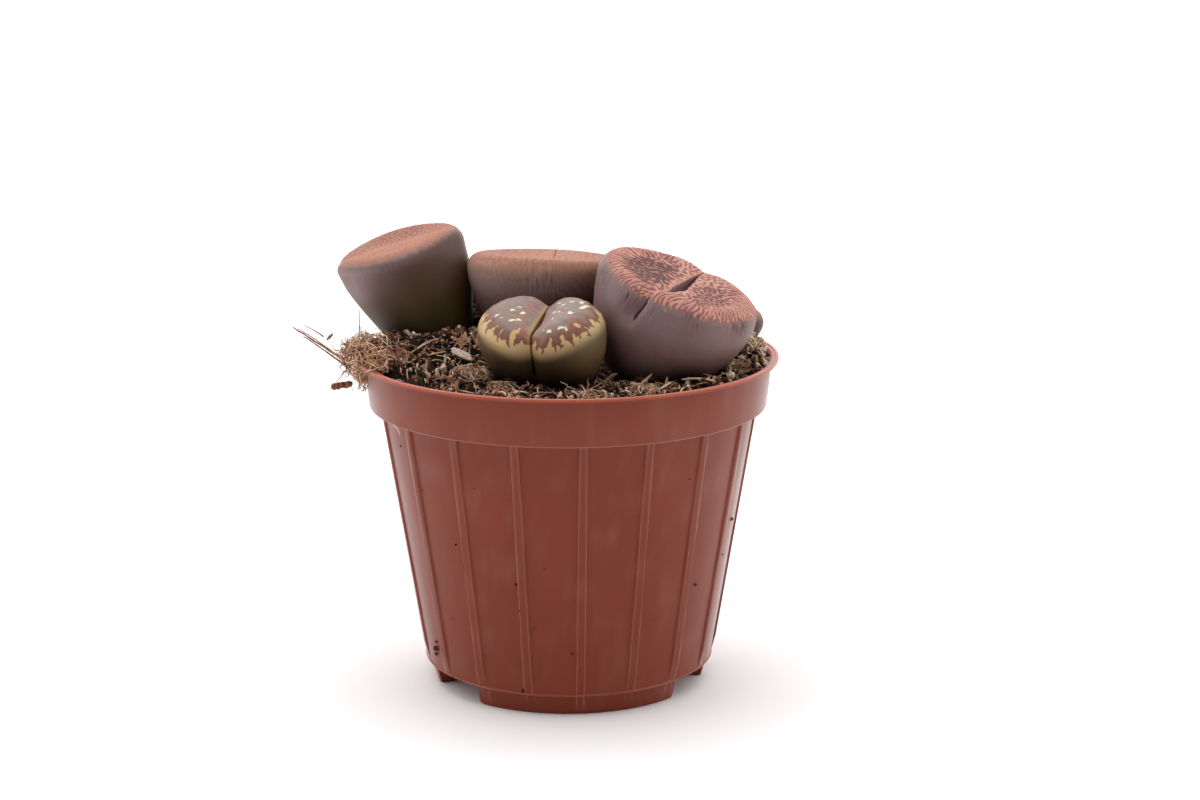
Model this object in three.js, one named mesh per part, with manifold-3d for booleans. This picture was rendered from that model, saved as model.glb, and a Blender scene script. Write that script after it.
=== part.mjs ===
// Lithops in a small nursery pot: a moulded pot on three feet, its potting mix, five leaf pairs, a chip
// of wood on the mix, and a tuft of root fibre that hangs over the rim. Millimetres, +Z up, and the
// front is -Y. The origin is on the surface that the feet stand on, under the middle of the whole
// outline. The tuft reaches further out than the rim, so the pot's own axis stands beside the origin.
import * as THREE from "three";
import { mergeVertices } from "three/addons/utils/BufferGeometryUtils.js";
import Module from "manifold-3d";

const wasm = await Module();
wasm.setup();

// Pot: the sizes of a common 5.5 cm nursery pot.
const LIP_RADIUS = 27.5;
const POT_HEIGHT = 43.4;
const LIP_WIDTH = 0.85;
const LIP_THICKNESS = 0.45;
const LIP_TAPER_HEIGHT = 1.2;
const BAND_TOP_RADIUS = 26.6;
const BAND_FOOT_RADIUS = 26.0;
const BAND_FOOT_Z = 37.0;
const BODY_TOP_RADIUS = 24.5;
const BODY_FOOT_RADIUS = 19.0;
const WALL = 0.75;
const POT_SIDES = 54;
const SEAM_CHAMFER = 0.3;
const MOULD_PHASE_DEG = 4.3;
const FOOT = { count: 3, height: 2.6, spanDeg: 89, outer: 17.9, inner: 16.2, draft: 0.7, steps: 14 };
const RIB = { count: 18, width: 1.1, crestWidth: 0.55, height: 0.3, sunk: 0.3, intoBand: 0.2 };
const DRAIN = { count: 5, radius: 1.7, circleRadius: 11, sides: 16, cutLength: 4 };

// Inside, the step between band and body slants from above the band's foot to below it.
const STEP_ABOVE = 0.9;
const STEP_BELOW = 0.8;

// Reach of the longest straw of the tuft to the left of the pot's axis.
const STRAW_REACH = 35.6;
const POT_AXIS_X = (STRAW_REACH - LIP_RADIUS) / 2;

// Clearance between pieces that touch, and what flat-sided room round a body adds to it.
const GAP = 0.3;
const FACET_ALLOWANCE = 0.18;
const MIX_ALLOWANCE = 0.1;

// Potting mix: its surface sags behind the front rim, is heaped at the left and the right, and is
// banked up against the two leaf pairs at the back.
const MIX_LEVEL = 41.9;
const MIX_RINGS = 9;
const MIX_SIDES = 40;
const HEAPS = [
  { x: -19, y: 1, reach: 11, rise: 3.4 },
  { x: -4, y: 10, reach: 12, rise: 1.6 },
  { x: 23, y: 3, reach: 7, rise: 2.6 },
  { x: -12.4, y: 16, reach: 4.2, rise: 5.4 },
];
const LUMP_HEIGHT = 0.16;
const LUMP_WAVES = [
  { x: 1.1, y: 0.6, phase: 0 },
  { x: -0.7, y: 0.9, phase: 2 },
  { x: 0, y: 1.7, phase: 1 },
];

// Crumbs and shreds of fibre that stand out of the mix. A pair is the range of a random draw.
const MIX_SEED = 7;
const CRUMB = {
  count: 44,
  size: [0.75, 1.5],
  breadth: [0.6, 1],
  flatness: [0.5, 0.8],
  tilt: [-0.3, 0.3],
  standOut: 0.1,
};
const SHRED = {
  count: 16,
  half: [1.5, 3],
  thickness: 0.62,
  arch: [0.2, 0.7],
  dip: 0.5,
  liftedEnd: [0, 0.9],
  steps: 4,
};

// Leaf pairs. "base" is where the neck enters the mix and "face" is the middle of the top. "lean" is
// the tilt of the face in degrees, to the right and to the front, and "turn" swings the fissure from
// the depth direction to the right. "along" and "across" are half sizes to the fissure, "waist" is the
// neck's width as a share of the widest, "swell" is how the side fills out above it, "step" is how
// much one lobe stands above the other. A cleft lies "offset" beside the middle, and "front" and
// "back" are how far it runs down.
const PLANTS = [
  {
    name: "lithops_back_left",
    base: [-18.4, 8.2, 43.8],
    face: [-23.1, 12.8, 56.4],
    lean: [-17, 7],
    turn: 86,
    along: 9.0,
    across: 9.6,
    waist: 0.63,
    swell: 1.3,
    rim: 1.9,
    dish: 0.6,
    step: 0.35,
    cleft: { depth: 4.2, gap: 0.5, front: 2, back: 2, valley: 0.4, offset: 1.5 },
    relief: 0.18,
    colour: 0x6d5546,
    steps: 20,
    seed: 11,
  },
  {
    name: "lithops_back_middle",
    base: [-2.5, 7.6, 43.2],
    face: [-2.7, 6.6, 55.4],
    lean: [2.5, -3],
    turn: 2,
    along: 7.4,
    across: 10.7,
    waist: 0.67,
    swell: 1.7,
    rim: 1.4,
    dish: 0.2,
    step: 0,
    cleft: { depth: 4.5, gap: 0.4, front: 0.4, back: 2, valley: 0.3, offset: 0 },
    relief: 0.18,
    colour: 0x6b5249,
    steps: 20,
    seed: 23,
  },
  {
    name: "lithops_right",
    base: [11.8, -6.9, 41.6],
    face: [14.6, -4.7, 54.35],
    lean: [19.3, 9],
    turn: 29,
    along: 9.9,
    across: 11.0,
    waist: 0.58,
    swell: 2.1,
    rim: 2.2,
    dish: 0.5,
    step: 0,
    cleft: { depth: 5, gap: 1.3, front: 1.6, back: 2, valley: 0.75, offset: 0.3 },
    relief: 0.2,
    colour: 0x655154,
    steps: 20,
    seed: 37,
  },
  {
    name: "lithops_front_small",
    base: [-2.8, -12.2, 41.6],
    face: [-3.5, -12.6, 51.6],
    lean: [-5, 14],
    turn: 15,
    along: 6.4,
    across: 8.2,
    waist: 0.6,
    swell: 2.4,
    rim: 2.8,
    dish: 0,
    step: 0,
    cleft: { depth: 4.2, gap: 0.5, front: 9, back: 3, valley: 1.5, offset: 0 },
    relief: 0.08,
    colour: 0x7d7350,
    steps: 16,
    seed: 41,
  },
  {
    name: "lithops_right_small",
    base: [20.3, 7.4, 42.6],
    face: [21.4, 7.4, 47.4],
    lean: [10, 0],
    turn: 15,
    along: 4.5,
    across: 5.0,
    waist: 0.66,
    swell: 2.0,
    rim: 1.8,
    dish: 0,
    step: 0,
    cleft: { depth: 2.6, gap: 0.4, front: 2, back: 2, valley: 0.4, offset: 0 },
    relief: 0.08,
    colour: 0x6d5550,
    steps: 10,
    seed: 53,
  },
];

// Below the neck a root narrows to its tip.
const ROOT_DEPTH = 5;
const ROOT_TAPER = 1.3;

// The flat of a face ends at this place on the unit disc, and its rounded rim begins.
const FLAT_DISC = 0.72;

// Where one lobe stands above the other, the height changes over this width.
const LOBE_STEP_WIDTH = 1.2;

// Rings of the side from the rim down to the root, as shares of the height.
const SIDE_LEVELS = [0.82, 0.66, 0.48, 0.28, 0.06, -0.24];

// Bumps of the face. Beyond "radialFrom" on the unit disc they run outwards.
const BUMP = { count: 90, pitch: 2.3, radialFrom: 0.55 };

// The soft valley beside a cleft, and how it fades where the cleft ends on the side.
const VALLEY = { widthShare: 0.17, widthExtra: 0.4, sharpness: 1.5, fadeLead: 1.5, fadeLength: 3 };

// The cleft passes the ends and the top of the face. Its lower edge turns up before each end, and it
// is narrower there.
const CLEFT = { overrun: 1, above: 2, turnUp: 1.6, narrowing: 0.7 };

// The plain socket round a leaf pair: its sides and its rings, as shares of the height.
const SOCKET = { sides: 20, levels: [-0.3, 0.05, 0.25, 0.45, 0.65, 0.85] };

// The tuft of root fibre: a matted core over the rim and the threads that arch across it.
const TUFT = {
  seed: 19,
  x: -25.6,
  y: -2.5,
  z: 45.3,
  half: [2.9, 5.6, 1.7],
  arches: 24,
  clearing: 8,
  sway: [-1.75, 1.75],
  hangOut: [0.6, 3.8],
  startIn: [1, 4],
  crownOut: [0.6, 1.6],
  crownRise: [1.3, 2.2],
  tipDrop: [-3.8, 0.6],
  threadSteps: 4,
  strawSteps: 5,
};

// Straws: the place of each tip along the lip and above it, its reach from the axis, its thickness.
const STRAWS = [
  { along: 0.6, above: 4.1, reach: STRAW_REACH, thickness: 0.9 },
  { along: 1.6, above: 3.3, reach: STRAW_REACH - 1.2, thickness: 0.62 },
  { along: -1.4, above: 4.6, reach: STRAW_REACH - 3.0, thickness: 0.62 },
];
const STRAW_BEND = { out: 1.6, above: 0.9, along: 0.4 };

// The flake of wood on the mix.
const CHIP = {
  x: -14.2,
  y: -7.0,
  length: 3.4,
  width: 1.4,
  thickness: 0.6,
  tiltDeg: 8,
  turnDeg: -38,
  lift: 0.75,
  clearing: 3.4,
};

const radians = THREE.MathUtils.degToRad;
const group = new THREE.Group();
const potGroup = new THREE.Group();
potGroup.position.x = POT_AXIS_X;
group.add(potGroup);

// A repeatable stream of numbers from 0 to 1.
function seeded(seed) {
  let state = seed;
  return () => {
    state = (state * 1664525 + 1013904223) % 4294967296;
    return state / 4294967296;
  };
}

function between(next, [low, high]) {
  return low + (high - low) * next();
}

function solidFrom(geometry) {
  const bare = geometry.clone();
  for (const name of Object.keys(bare.attributes)) {
    if (name !== "position") {
      bare.deleteAttribute(name);
    }
  }
  const merged = mergeVertices(bare, 1e-4);
  const triVerts = new Uint32Array(merged.index.array);
  const vertProperties = new Float32Array(merged.attributes.position.array);
  const solid = new wasm.Manifold(new wasm.Mesh({ numProp: 3, vertProperties, triVerts }));
  if (solid.volume() <= 0) {
    throw new Error("a surface faces inwards");
  }
  return solid;
}

function geometryFrom(solid) {
  const mesh = solid.getMesh();
  const positions = new THREE.BufferAttribute(new Float32Array(mesh.vertProperties), 3);
  const geometry = new THREE.BufferGeometry();
  geometry.setAttribute("position", positions);
  geometry.setIndex(new THREE.BufferAttribute(new Uint32Array(mesh.triVerts), 1));
  geometry.computeVertexNormals();
  return geometry;
}

function addPiece(name, solid, finish) {
  const mesh = new THREE.Mesh(geometryFrom(solid), new THREE.MeshStandardMaterial(finish));
  mesh.name = name;
  potGroup.add(mesh);
}

function middleOf(points) {
  const sum = points.reduce((total, point) => total.add(point), new THREE.Vector3());
  return sum.divideScalar(points.length);
}

// A closed surface from rings of points, each ring a list of THREE.Vector3, with a point at either end.
function shellFromRings(first, rings, last) {
  const points = [first, ...rings.flat(), last];
  const faces = [];
  const sides = rings[0].length;
  const lastIndex = points.length - 1;
  const at = (ring, side) => 1 + ring * sides + (side % sides);
  for (let side = 0; side < sides; side += 1) {
    faces.push(0, at(0, side), at(0, side + 1));
    for (let ring = 0; ring + 1 < rings.length; ring += 1) {
      faces.push(at(ring, side), at(ring + 1, side), at(ring + 1, side + 1));
      faces.push(at(ring, side), at(ring + 1, side + 1), at(ring, side + 1));
    }
    faces.push(at(rings.length - 1, side), lastIndex, at(rings.length - 1, side + 1));
  }
  const geometry = new THREE.BufferGeometry();
  geometry.setFromPoints(points);
  geometry.setIndex(faces);
  return geometry;
}

// A solid turned round the pot's axis from its profile of radius and height.
function turned(profile) {
  const points = profile.map(([radius, z]) => new THREE.Vector2(radius, z));
  const geometry = new THREE.LatheGeometry(points, POT_SIDES);
  geometry.rotateX(Math.PI / 2);
  geometry.rotateZ(radians(MOULD_PHASE_DEG + 180 / POT_SIDES));
  return solidFrom(geometry);
}

function bodyRadius(z) {
  const share = (z - FOOT.height) / (BAND_FOOT_Z - FOOT.height);
  return THREE.MathUtils.lerp(BODY_FOOT_RADIUS, BODY_TOP_RADIUS, share);
}

function makeShell() {
  const floorZ = FOOT.height + WALL;
  const lipUnderside = POT_HEIGHT - LIP_THICKNESS;
  return turned([
    [0, FOOT.height],
    [BODY_FOOT_RADIUS - SEAM_CHAMFER, FOOT.height],
    [BODY_FOOT_RADIUS, FOOT.height + SEAM_CHAMFER],
    [BODY_TOP_RADIUS, BAND_FOOT_Z],
    [BAND_FOOT_RADIUS, BAND_FOOT_Z],
    [BAND_TOP_RADIUS, lipUnderside],
    [LIP_RADIUS, lipUnderside],
    [LIP_RADIUS, POT_HEIGHT],
    [LIP_RADIUS - LIP_WIDTH, POT_HEIGHT],
    [BAND_TOP_RADIUS - WALL, POT_HEIGHT - LIP_TAPER_HEIGHT],
    [BAND_FOOT_RADIUS - WALL, BAND_FOOT_Z + STEP_ABOVE],
    [BODY_TOP_RADIUS - WALL, BAND_FOOT_Z - STEP_BELOW],
    [bodyRadius(floorZ) - WALL, floorZ],
    [0, floorZ],
  ]);
}

// A low rib with a flat crest, from the seam up to the band.
function makeRib(angle) {
  const section = [
    [-RIB.width / 2, -RIB.sunk],
    [-RIB.crestWidth / 2, RIB.height],
    [RIB.crestWidth / 2, RIB.height],
    [RIB.width / 2, -RIB.sunk],
  ];
  const ring = (z) =>
    section.map(([side, out]) => {
      const point = new THREE.Vector3(bodyRadius(z) + out, side, z);
      return point.applyAxisAngle(new THREE.Vector3(0, 0, 1), angle);
    });
  const low = ring(FOOT.height + SEAM_CHAMFER);
  const high = ring(BAND_FOOT_Z + RIB.intoBand);
  return solidFrom(shellFromRings(middleOf(high), [high, low], middleOf(low)));
}

// A foot is a stretch of a low ring under the floor, drawn in slightly towards the ground.
function makeFoot(angle) {
  const half = radians(FOOT.spanDeg / 2);
  const shape = new THREE.Shape();
  shape.absarc(0, 0, FOOT.outer + FOOT.draft, angle - half, angle + half, false);
  shape.absarc(0, 0, FOOT.inner, angle + half, angle - half, true);
  const geometry = new THREE.ExtrudeGeometry(shape, {
    depth: FOOT.height + WALL / 2,
    bevelEnabled: false,
    curveSegments: FOOT.steps,
  });
  const position = geometry.attributes.position;
  for (let i = 0; i < position.count; i += 1) {
    const radius = Math.hypot(position.getX(i), position.getY(i));
    const onGround = position.getZ(i) < FOOT.height / 2;
    if (onGround && radius > FOOT.outer) {
      const shrink = FOOT.outer / radius;
      position.setX(i, position.getX(i) * shrink);
      position.setY(i, position.getY(i) * shrink);
    }
  }
  return solidFrom(geometry);
}

function makeDrain(angle) {
  const hole = new THREE.CylinderGeometry(DRAIN.radius, DRAIN.radius, DRAIN.cutLength, DRAIN.sides);
  hole.rotateX(Math.PI / 2);
  const x = DRAIN.circleRadius * Math.cos(angle);
  const y = DRAIN.circleRadius * Math.sin(angle);
  hole.translate(x, y, FOOT.height);
  return solidFrom(hole);
}

// The mould's marks are counted round from the front, which is -Y.
function mouldAngle(index, count) {
  return radians(MOULD_PHASE_DEG - 90 + (360 * index) / count);
}

function makePot() {
  let pot = makeShell();
  for (let i = 0; i < RIB.count; i += 1) {
    pot = pot.add(makeRib(mouldAngle(i, RIB.count)));
  }
  for (let i = 0; i < FOOT.count; i += 1) {
    pot = pot.add(makeFoot(mouldAngle(i, FOOT.count)));
  }
  for (let i = 0; i < DRAIN.count; i += 1) {
    pot = pot.subtract(makeDrain(mouldAngle(i, DRAIN.count)));
  }
  return pot;
}

// The frame of a leaf pair at a share of its height: 0 at the mix and 1 at the face.
function leafFrame(plant, share) {
  const tilt = THREE.MathUtils.clamp(share, 0, 1);
  const [right, front] = plant.lean.map((degrees) => Math.tan(radians(degrees)) * tilt);
  const normal = new THREE.Vector3(right, -front, 1).normalize();
  const turn = radians(plant.turn);
  const along = new THREE.Vector3(Math.sin(turn), Math.cos(turn), 0);
  along.addScaledVector(normal, -along.dot(normal)).normalize();
  const across = new THREE.Vector3().crossVectors(along, normal);
  const base = new THREE.Vector3(...plant.base);
  const face = new THREE.Vector3(...plant.face);
  const height = face.distanceTo(base);
  const centre = base.clone().lerp(face, tilt);
  centre.addScaledVector(normal, (share - tilt) * height);
  return { centre, along, across, height };
}

function place(plant, u, v, share) {
  const frame = leafFrame(plant, share);
  return frame.centre.clone().addScaledVector(frame.along, u).addScaledVector(frame.across, v);
}

// Width of the body at a share of its height, as a part of its widest ring.
function bodyWidth(plant, share, rimShare) {
  if (share < 0) {
    return plant.waist * (1 + share * ROOT_TAPER);
  }
  const down = THREE.MathUtils.clamp(1 - share / (1 - rimShare), 0, 1);
  return 1 - (1 - plant.waist) * down ** plant.swell;
}

// Bumps of the face: short waves that run outwards near the rim and any way in the middle.
function makeRelief(plant) {
  const next = seeded(plant.seed);
  const spots = [];
  for (let i = 0; i < BUMP.count; i += 1) {
    const radius = Math.sqrt(next());
    const turn = next() * 2 * Math.PI;
    const u = radius * Math.cos(turn) * plant.along;
    const v = radius * Math.sin(turn) * plant.across;
    const outward = Math.atan2(v, u) + Math.PI / 2;
    const free = next() * Math.PI;
    const direction = radius > BUMP.radialFrom ? outward : free;
    const sign = next() > 0.5 ? 1 : -1;
    spots.push({ u, v, cos: Math.cos(direction), sin: Math.sin(direction), sign });
  }
  return (u, v) => {
    let sum = 0;
    for (const spot of spots) {
      const du = u - spot.u;
      const dv = v - spot.v;
      const wave = Math.cos((2 * Math.PI * (du * spot.cos + dv * spot.sin)) / BUMP.pitch);
      sum += spot.sign * wave * Math.exp(-(du * du + dv * dv) / BUMP.pitch ** 2);
    }
    return THREE.MathUtils.clamp(sum, -1, 1);
  };
}

// The square [-1, 1] x [-1, 1] laid over the unit disc, edge to edge.
function squareToDisc(u, v) {
  return [u * Math.sqrt(1 - (v * v) / 2), v * Math.sqrt(1 - (u * u) / 2)];
}

// How deep the soft valley beside the cleft is at a place across the face.
function valleyAt(plant, across) {
  const width = VALLEY.widthShare * plant.across + VALLEY.widthExtra;
  const distance = Math.abs(across - plant.cleft.offset);
  return plant.cleft.valley * Math.exp(-((distance / width) ** VALLEY.sharpness));
}

// A point of the face and its rounded rim. "disc" is the place on the unit disc.
function facePoint(plant, disc, relief) {
  const [x, y] = disc;
  const radius = Math.hypot(x, y);
  const inner = 1 - plant.rim / ((plant.along + plant.across) / 2);
  let width = (radius / FLAT_DISC) * inner;
  let drop = 0;
  let over = 0;
  if (radius > FLAT_DISC) {
    over = ((radius - FLAT_DISC) / (1 - FLAT_DISC)) * (Math.PI / 2);
    width = inner + (1 - inner) * Math.sin(over);
    drop = plant.rim * (1 - Math.cos(over));
  }
  const scale = radius > 0 ? width / radius : 0;
  const u = plant.along * x * scale;
  const v = plant.across * y * scale;
  const side = Math.tanh((v - plant.cleft.offset) / LOBE_STEP_WIDTH);
  const lobeMiddle = plant.across / 2;
  const lobe = Math.exp(-2 * ((u / plant.along) ** 2 + ((Math.abs(v) - lobeMiddle) / lobeMiddle) ** 2));
  const bumps = plant.relief * relief(u, v) * Math.max(Math.cos(over), 0);
  const rise = bumps + side * plant.step - plant.dish * lobe;
  const valley = valleyAt(plant, v);
  return { u, v, z: rise - drop - valley * Math.cos(over), pull: valley * Math.sin(over) };
}

// The steps round the square's edge, in order.
function edgeSteps(steps) {
  const edge = [];
  for (let k = 0; k < steps; k += 1) {
    edge.push([k, 0]);
  }
  for (let k = 0; k < steps; k += 1) {
    edge.push([steps, k]);
  }
  for (let k = steps; k > 0; k -= 1) {
    edge.push([k, steps]);
  }
  for (let k = steps; k > 0; k -= 1) {
    edge.push([0, k]);
  }
  return edge;
}

// Faces between one ring and the next, which has as many points or half as many.
function joinRings(faces, upper, lower) {
  const count = lower.length;
  for (let k = 0; k < count; k += 1) {
    const next = (k + 1) % count;
    if (count === upper.length) {
      faces.push(upper[k], upper[next], lower[next], upper[k], lower[next], lower[k]);
    } else {
      const a = upper[2 * k];
      const b = upper[2 * k + 1];
      const c = upper[(2 * k + 2) % upper.length];
      faces.push(a, b, lower[k], b, lower[next], lower[k], b, c, lower[next]);
    }
  }
}

// The face as a grid over the disc, then rings down the side, then the root's tip.
function makeLeafBody(plant) {
  const relief = makeRelief(plant);
  const { height } = leafFrame(plant, 1);
  const { steps } = plant;
  const rimShare = plant.rim / height;
  const disc = (i, j) => squareToDisc((2 * i) / steps - 1, (2 * j) / steps - 1);
  const at = (i, j) => i * (steps + 1) + j;
  const points = [];
  for (let i = 0; i <= steps; i += 1) {
    for (let j = 0; j <= steps; j += 1) {
      const point = facePoint(plant, disc(i, j), relief);
      const pull = 1 - point.pull / plant.along;
      points.push(place(plant, point.u * pull, point.v, 1 + point.z / height));
    }
  }
  const faces = [];
  for (let i = 0; i < steps; i += 1) {
    for (let j = 0; j < steps; j += 1) {
      const corners = [at(i, j), at(i + 1, j), at(i + 1, j + 1), at(i, j + 1)];
      faces.push(corners[0], corners[2], corners[1], corners[0], corners[3], corners[2]);
    }
  }
  const edge = edgeSteps(steps);
  let previous = edge.map(([i, j]) => at(i, j));
  SIDE_LEVELS.forEach((level, ring) => {
    const share = level > 0 ? level * (1 - rimShare) : level;
    const width = bodyWidth(plant, share, rimShare);
    const below = (1 - share) * height;
    const stride = ring === 0 ? 1 : 2;
    const current = [];
    for (let k = 0; k < edge.length; k += stride) {
      const [x, y] = disc(...edge[k]);
      const reach = (x < 0 ? plant.cleft.front : plant.cleft.back) + plant.rim + VALLEY.fadeLead;
      const fade = THREE.MathUtils.smoothstep(reach - below, 0, VALLEY.fadeLength);
      const pull = valleyAt(plant, y * plant.across) * fade * Math.abs(x) ** 4;
      const u = plant.along * x * width * (1 - pull / plant.along);
      current.push(points.length);
      points.push(place(plant, u, plant.across * y * width, share));
    }
    joinRings(faces, previous, current);
    previous = current;
  });
  const tip = points.length;
  points.push(place(plant, 0, 0, -ROOT_DEPTH / height));
  for (let k = 0; k < previous.length; k += 1) {
    faces.push(previous[k], previous[(k + 1) % previous.length], tip);
  }
  const geometry = new THREE.BufferGeometry();
  geometry.setFromPoints(points);
  geometry.setIndex(faces);
  return solidFrom(geometry);
}

// The cleft is a thin plate with a round lower edge, standing in the plane of the fissure.
function makeCleft(plant) {
  const { height } = leafFrame(plant, 1);
  const { depth, gap, front, back, offset } = plant.cleft;
  const ends = plant.along + CLEFT.overrun;
  const shoulder = plant.along - CLEFT.turnUp;
  const outline = [
    [-ends, CLEFT.above],
    [-ends, -front - plant.rim],
    [-shoulder, -(front + depth + plant.rim) / 2],
    [0, -depth],
    [shoulder, -(back + depth + plant.rim) / 2],
    [ends, -back - plant.rim],
    [ends, CLEFT.above],
    [0, CLEFT.above],
  ];
  const ring = (side) =>
    outline.map(([u, z]) => {
      const opening = gap * (1 - CLEFT.narrowing * (u / ends) ** 2);
      return place(plant, u, offset + (side * opening) / 2, 1 + z / height);
    });
  const left = ring(-1);
  const right = ring(1);
  return solidFrom(shellFromRings(middleOf(right), [right, left], middleOf(left)));
}

// A plain socket for a leaf pair.
function makeSocket(plant) {
  const { height } = leafFrame(plant, 1);
  const clearance = GAP + FACET_ALLOWANCE;
  const spread = 1 / Math.cos(Math.PI / SOCKET.sides);
  const rimShare = plant.rim / height;
  const ring = (share) =>
    Array.from({ length: SOCKET.sides }, (_, k) => {
      const angle = (2 * Math.PI * k) / SOCKET.sides;
      const width = bodyWidth(plant, share, rimShare) * spread;
      const u = Math.cos(angle) * (plant.along * width + clearance);
      const v = Math.sin(angle) * (plant.across * width + clearance);
      return place(plant, u, v, share);
    });
  const tip = place(plant, 0, 0, -(ROOT_DEPTH + 2 * clearance) / height);
  const top = place(plant, 0, 0, SOCKET.levels.at(-1));
  return solidFrom(shellFromRings(tip, SOCKET.levels.map(ring), top));
}

// Height of the mix, without its crumbs.
function mixHeight(x, y) {
  let height = MIX_LEVEL;
  for (const heap of HEAPS) {
    const distance = Math.hypot(x - heap.x, y - heap.y) / heap.reach;
    height += heap.rise * Math.exp(-distance * distance);
  }
  for (const wave of LUMP_WAVES) {
    height += LUMP_HEIGHT * Math.sin(wave.x * x + wave.y * y + wave.phase);
  }
  return height;
}

// The mix fills the pot to its wall. "lift" raises and widens it to the room that others keep clear.
function makeMixBody(lift) {
  const floorZ = FOOT.height + WALL + GAP;
  const wall = [
    [BAND_FOOT_RADIUS - WALL, BAND_FOOT_Z + STEP_ABOVE],
    [BODY_TOP_RADIUS - WALL, BAND_FOOT_Z - STEP_BELOW + MIX_ALLOWANCE],
    [bodyRadius(floorZ) - WALL, floorZ],
  ].map(([radius, z]) => [radius * Math.cos(Math.PI / POT_SIDES) - GAP, z]);
  const circle = (radius, height) =>
    Array.from({ length: MIX_SIDES }, (_, k) => {
      const angle = (2 * Math.PI * k) / MIX_SIDES;
      const x = radius * Math.cos(angle);
      const y = radius * Math.sin(angle);
      return new THREE.Vector3(x, y, height ?? mixHeight(x, y) + lift);
    });
  const edge = BAND_TOP_RADIUS - WALL - 2 * GAP + lift;
  const surface = Array.from({ length: MIX_RINGS }, (_, k) => circle((edge * (k + 1)) / MIX_RINGS));
  const sides = wall.map(([radius, z]) => circle(radius + lift, z));
  const top = new THREE.Vector3(0, 0, mixHeight(0, 0) + lift);
  return solidFrom(shellFromRings(top, [...surface, ...sides], new THREE.Vector3(0, 0, floorZ)));
}

// A crumb of the mix: an eight-sided lump, flattened and turned at random, sunk in the surface.
function makeCrumb(next, x, y) {
  const size = between(next, CRUMB.size);
  const crumb = new THREE.OctahedronGeometry(size);
  crumb.scale(1, between(next, CRUMB.breadth), between(next, CRUMB.flatness));
  crumb.rotateX(between(next, CRUMB.tilt));
  crumb.rotateZ(2 * Math.PI * next());
  crumb.translate(x, y, mixHeight(x, y) + CRUMB.standOut * size);
  return solidFrom(crumb);
}

// A thread of even thickness along a curve, with three sides.
function makeThread(points, thickness, steps) {
  const radius = thickness / Math.sqrt(3);
  const section = new THREE.Shape();
  section.moveTo(radius, 0);
  section.lineTo(-radius / 2, thickness / 2);
  section.lineTo(-radius / 2, -thickness / 2);
  section.closePath();
  const path = new THREE.CatmullRomCurve3(points);
  return solidFrom(new THREE.ExtrudeGeometry(section, { steps, extrudePath: path, bevelEnabled: false }));
}

// A shred of fibre that lies across the surface and dips into it, often at both ends.
function makeShred(next, x, y) {
  const turn = 2 * Math.PI * next();
  const half = between(next, SHRED.half);
  const along = new THREE.Vector3(Math.cos(turn) * half, Math.sin(turn) * half, 0);
  const middle = new THREE.Vector3(x, y, mixHeight(x, y) + between(next, SHRED.arch));
  const sunkEnd = middle.clone().sub(along);
  sunkEnd.z = mixHeight(sunkEnd.x, sunkEnd.y) - SHRED.dip;
  const otherEnd = middle.clone().add(along);
  otherEnd.z = mixHeight(otherEnd.x, otherEnd.y) - SHRED.dip + between(next, SHRED.liftedEnd);
  return makeThread([sunkEnd, middle, otherEnd], SHRED.thickness, SHRED.steps);
}

// A place on the mix, away from the wall by "margin" and off the ground that is kept clear.
function onMix(next, margin) {
  for (;;) {
    const radius = (BAND_FOOT_RADIUS - WALL - GAP - margin) * Math.sqrt(next());
    const angle = 2 * Math.PI * next();
    const x = radius * Math.cos(angle);
    const y = radius * Math.sin(angle);
    if ([TUFT, CHIP].every((thing) => Math.hypot(x - thing.x, y - thing.y) > thing.clearing)) {
      return [x, y];
    }
  }
}

function largest(solid) {
  return solid.decompose().reduce((best, part) => (part.volume() > best.volume() ? part : best));
}

function makeMix(guards) {
  const next = seeded(MIX_SEED);
  const parts = [makeMixBody(0)];
  for (let i = 0; i < CRUMB.count; i += 1) {
    parts.push(makeCrumb(next, ...onMix(next, CRUMB.size[1])));
  }
  for (let i = 0; i < SHRED.count; i += 1) {
    parts.push(makeShred(next, ...onMix(next, SHRED.half[1] + SHRED.thickness)));
  }
  const whole = wasm.Manifold.union(parts);
  return largest(guards.reduce((mix, guard) => mix.subtract(guard), whole));
}

// The room that the pot's band and lip take, grown by the clearance.
function makeRimGuard() {
  const inner = BAND_FOOT_RADIUS - WALL - GAP;
  const foot = BAND_FOOT_Z - 1;
  const lipUnderside = POT_HEIGHT - LIP_THICKNESS - GAP;
  return turned([
    [inner, foot],
    [BAND_FOOT_RADIUS + GAP, foot],
    [BAND_TOP_RADIUS + GAP, lipUnderside],
    [LIP_RADIUS + GAP, lipUnderside],
    [LIP_RADIUS + GAP, POT_HEIGHT + GAP],
    [LIP_RADIUS - LIP_WIDTH - GAP, POT_HEIGHT + GAP],
    [inner, POT_HEIGHT - LIP_TAPER_HEIGHT],
    [inner, foot],
  ]);
}

function makeArch(next) {
  const y = TUFT.y + TUFT.half[1] * between(next, [-1, 1]);
  const sway = between(next, TUFT.sway);
  const out = between(next, TUFT.hangOut);
  const start = new THREE.Vector3(TUFT.x + between(next, TUFT.startIn), y, TUFT.z - 0.2);
  const crown = new THREE.Vector3(TUFT.x - between(next, TUFT.crownOut), y + 0.4 * sway, TUFT.z);
  crown.z += between(next, TUFT.crownRise);
  const tip = new THREE.Vector3(-LIP_RADIUS - out, y + sway, POT_HEIGHT + between(next, TUFT.tipDrop));
  return makeThread([start, crown, tip], SHRED.thickness, TUFT.threadSteps);
}

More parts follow.
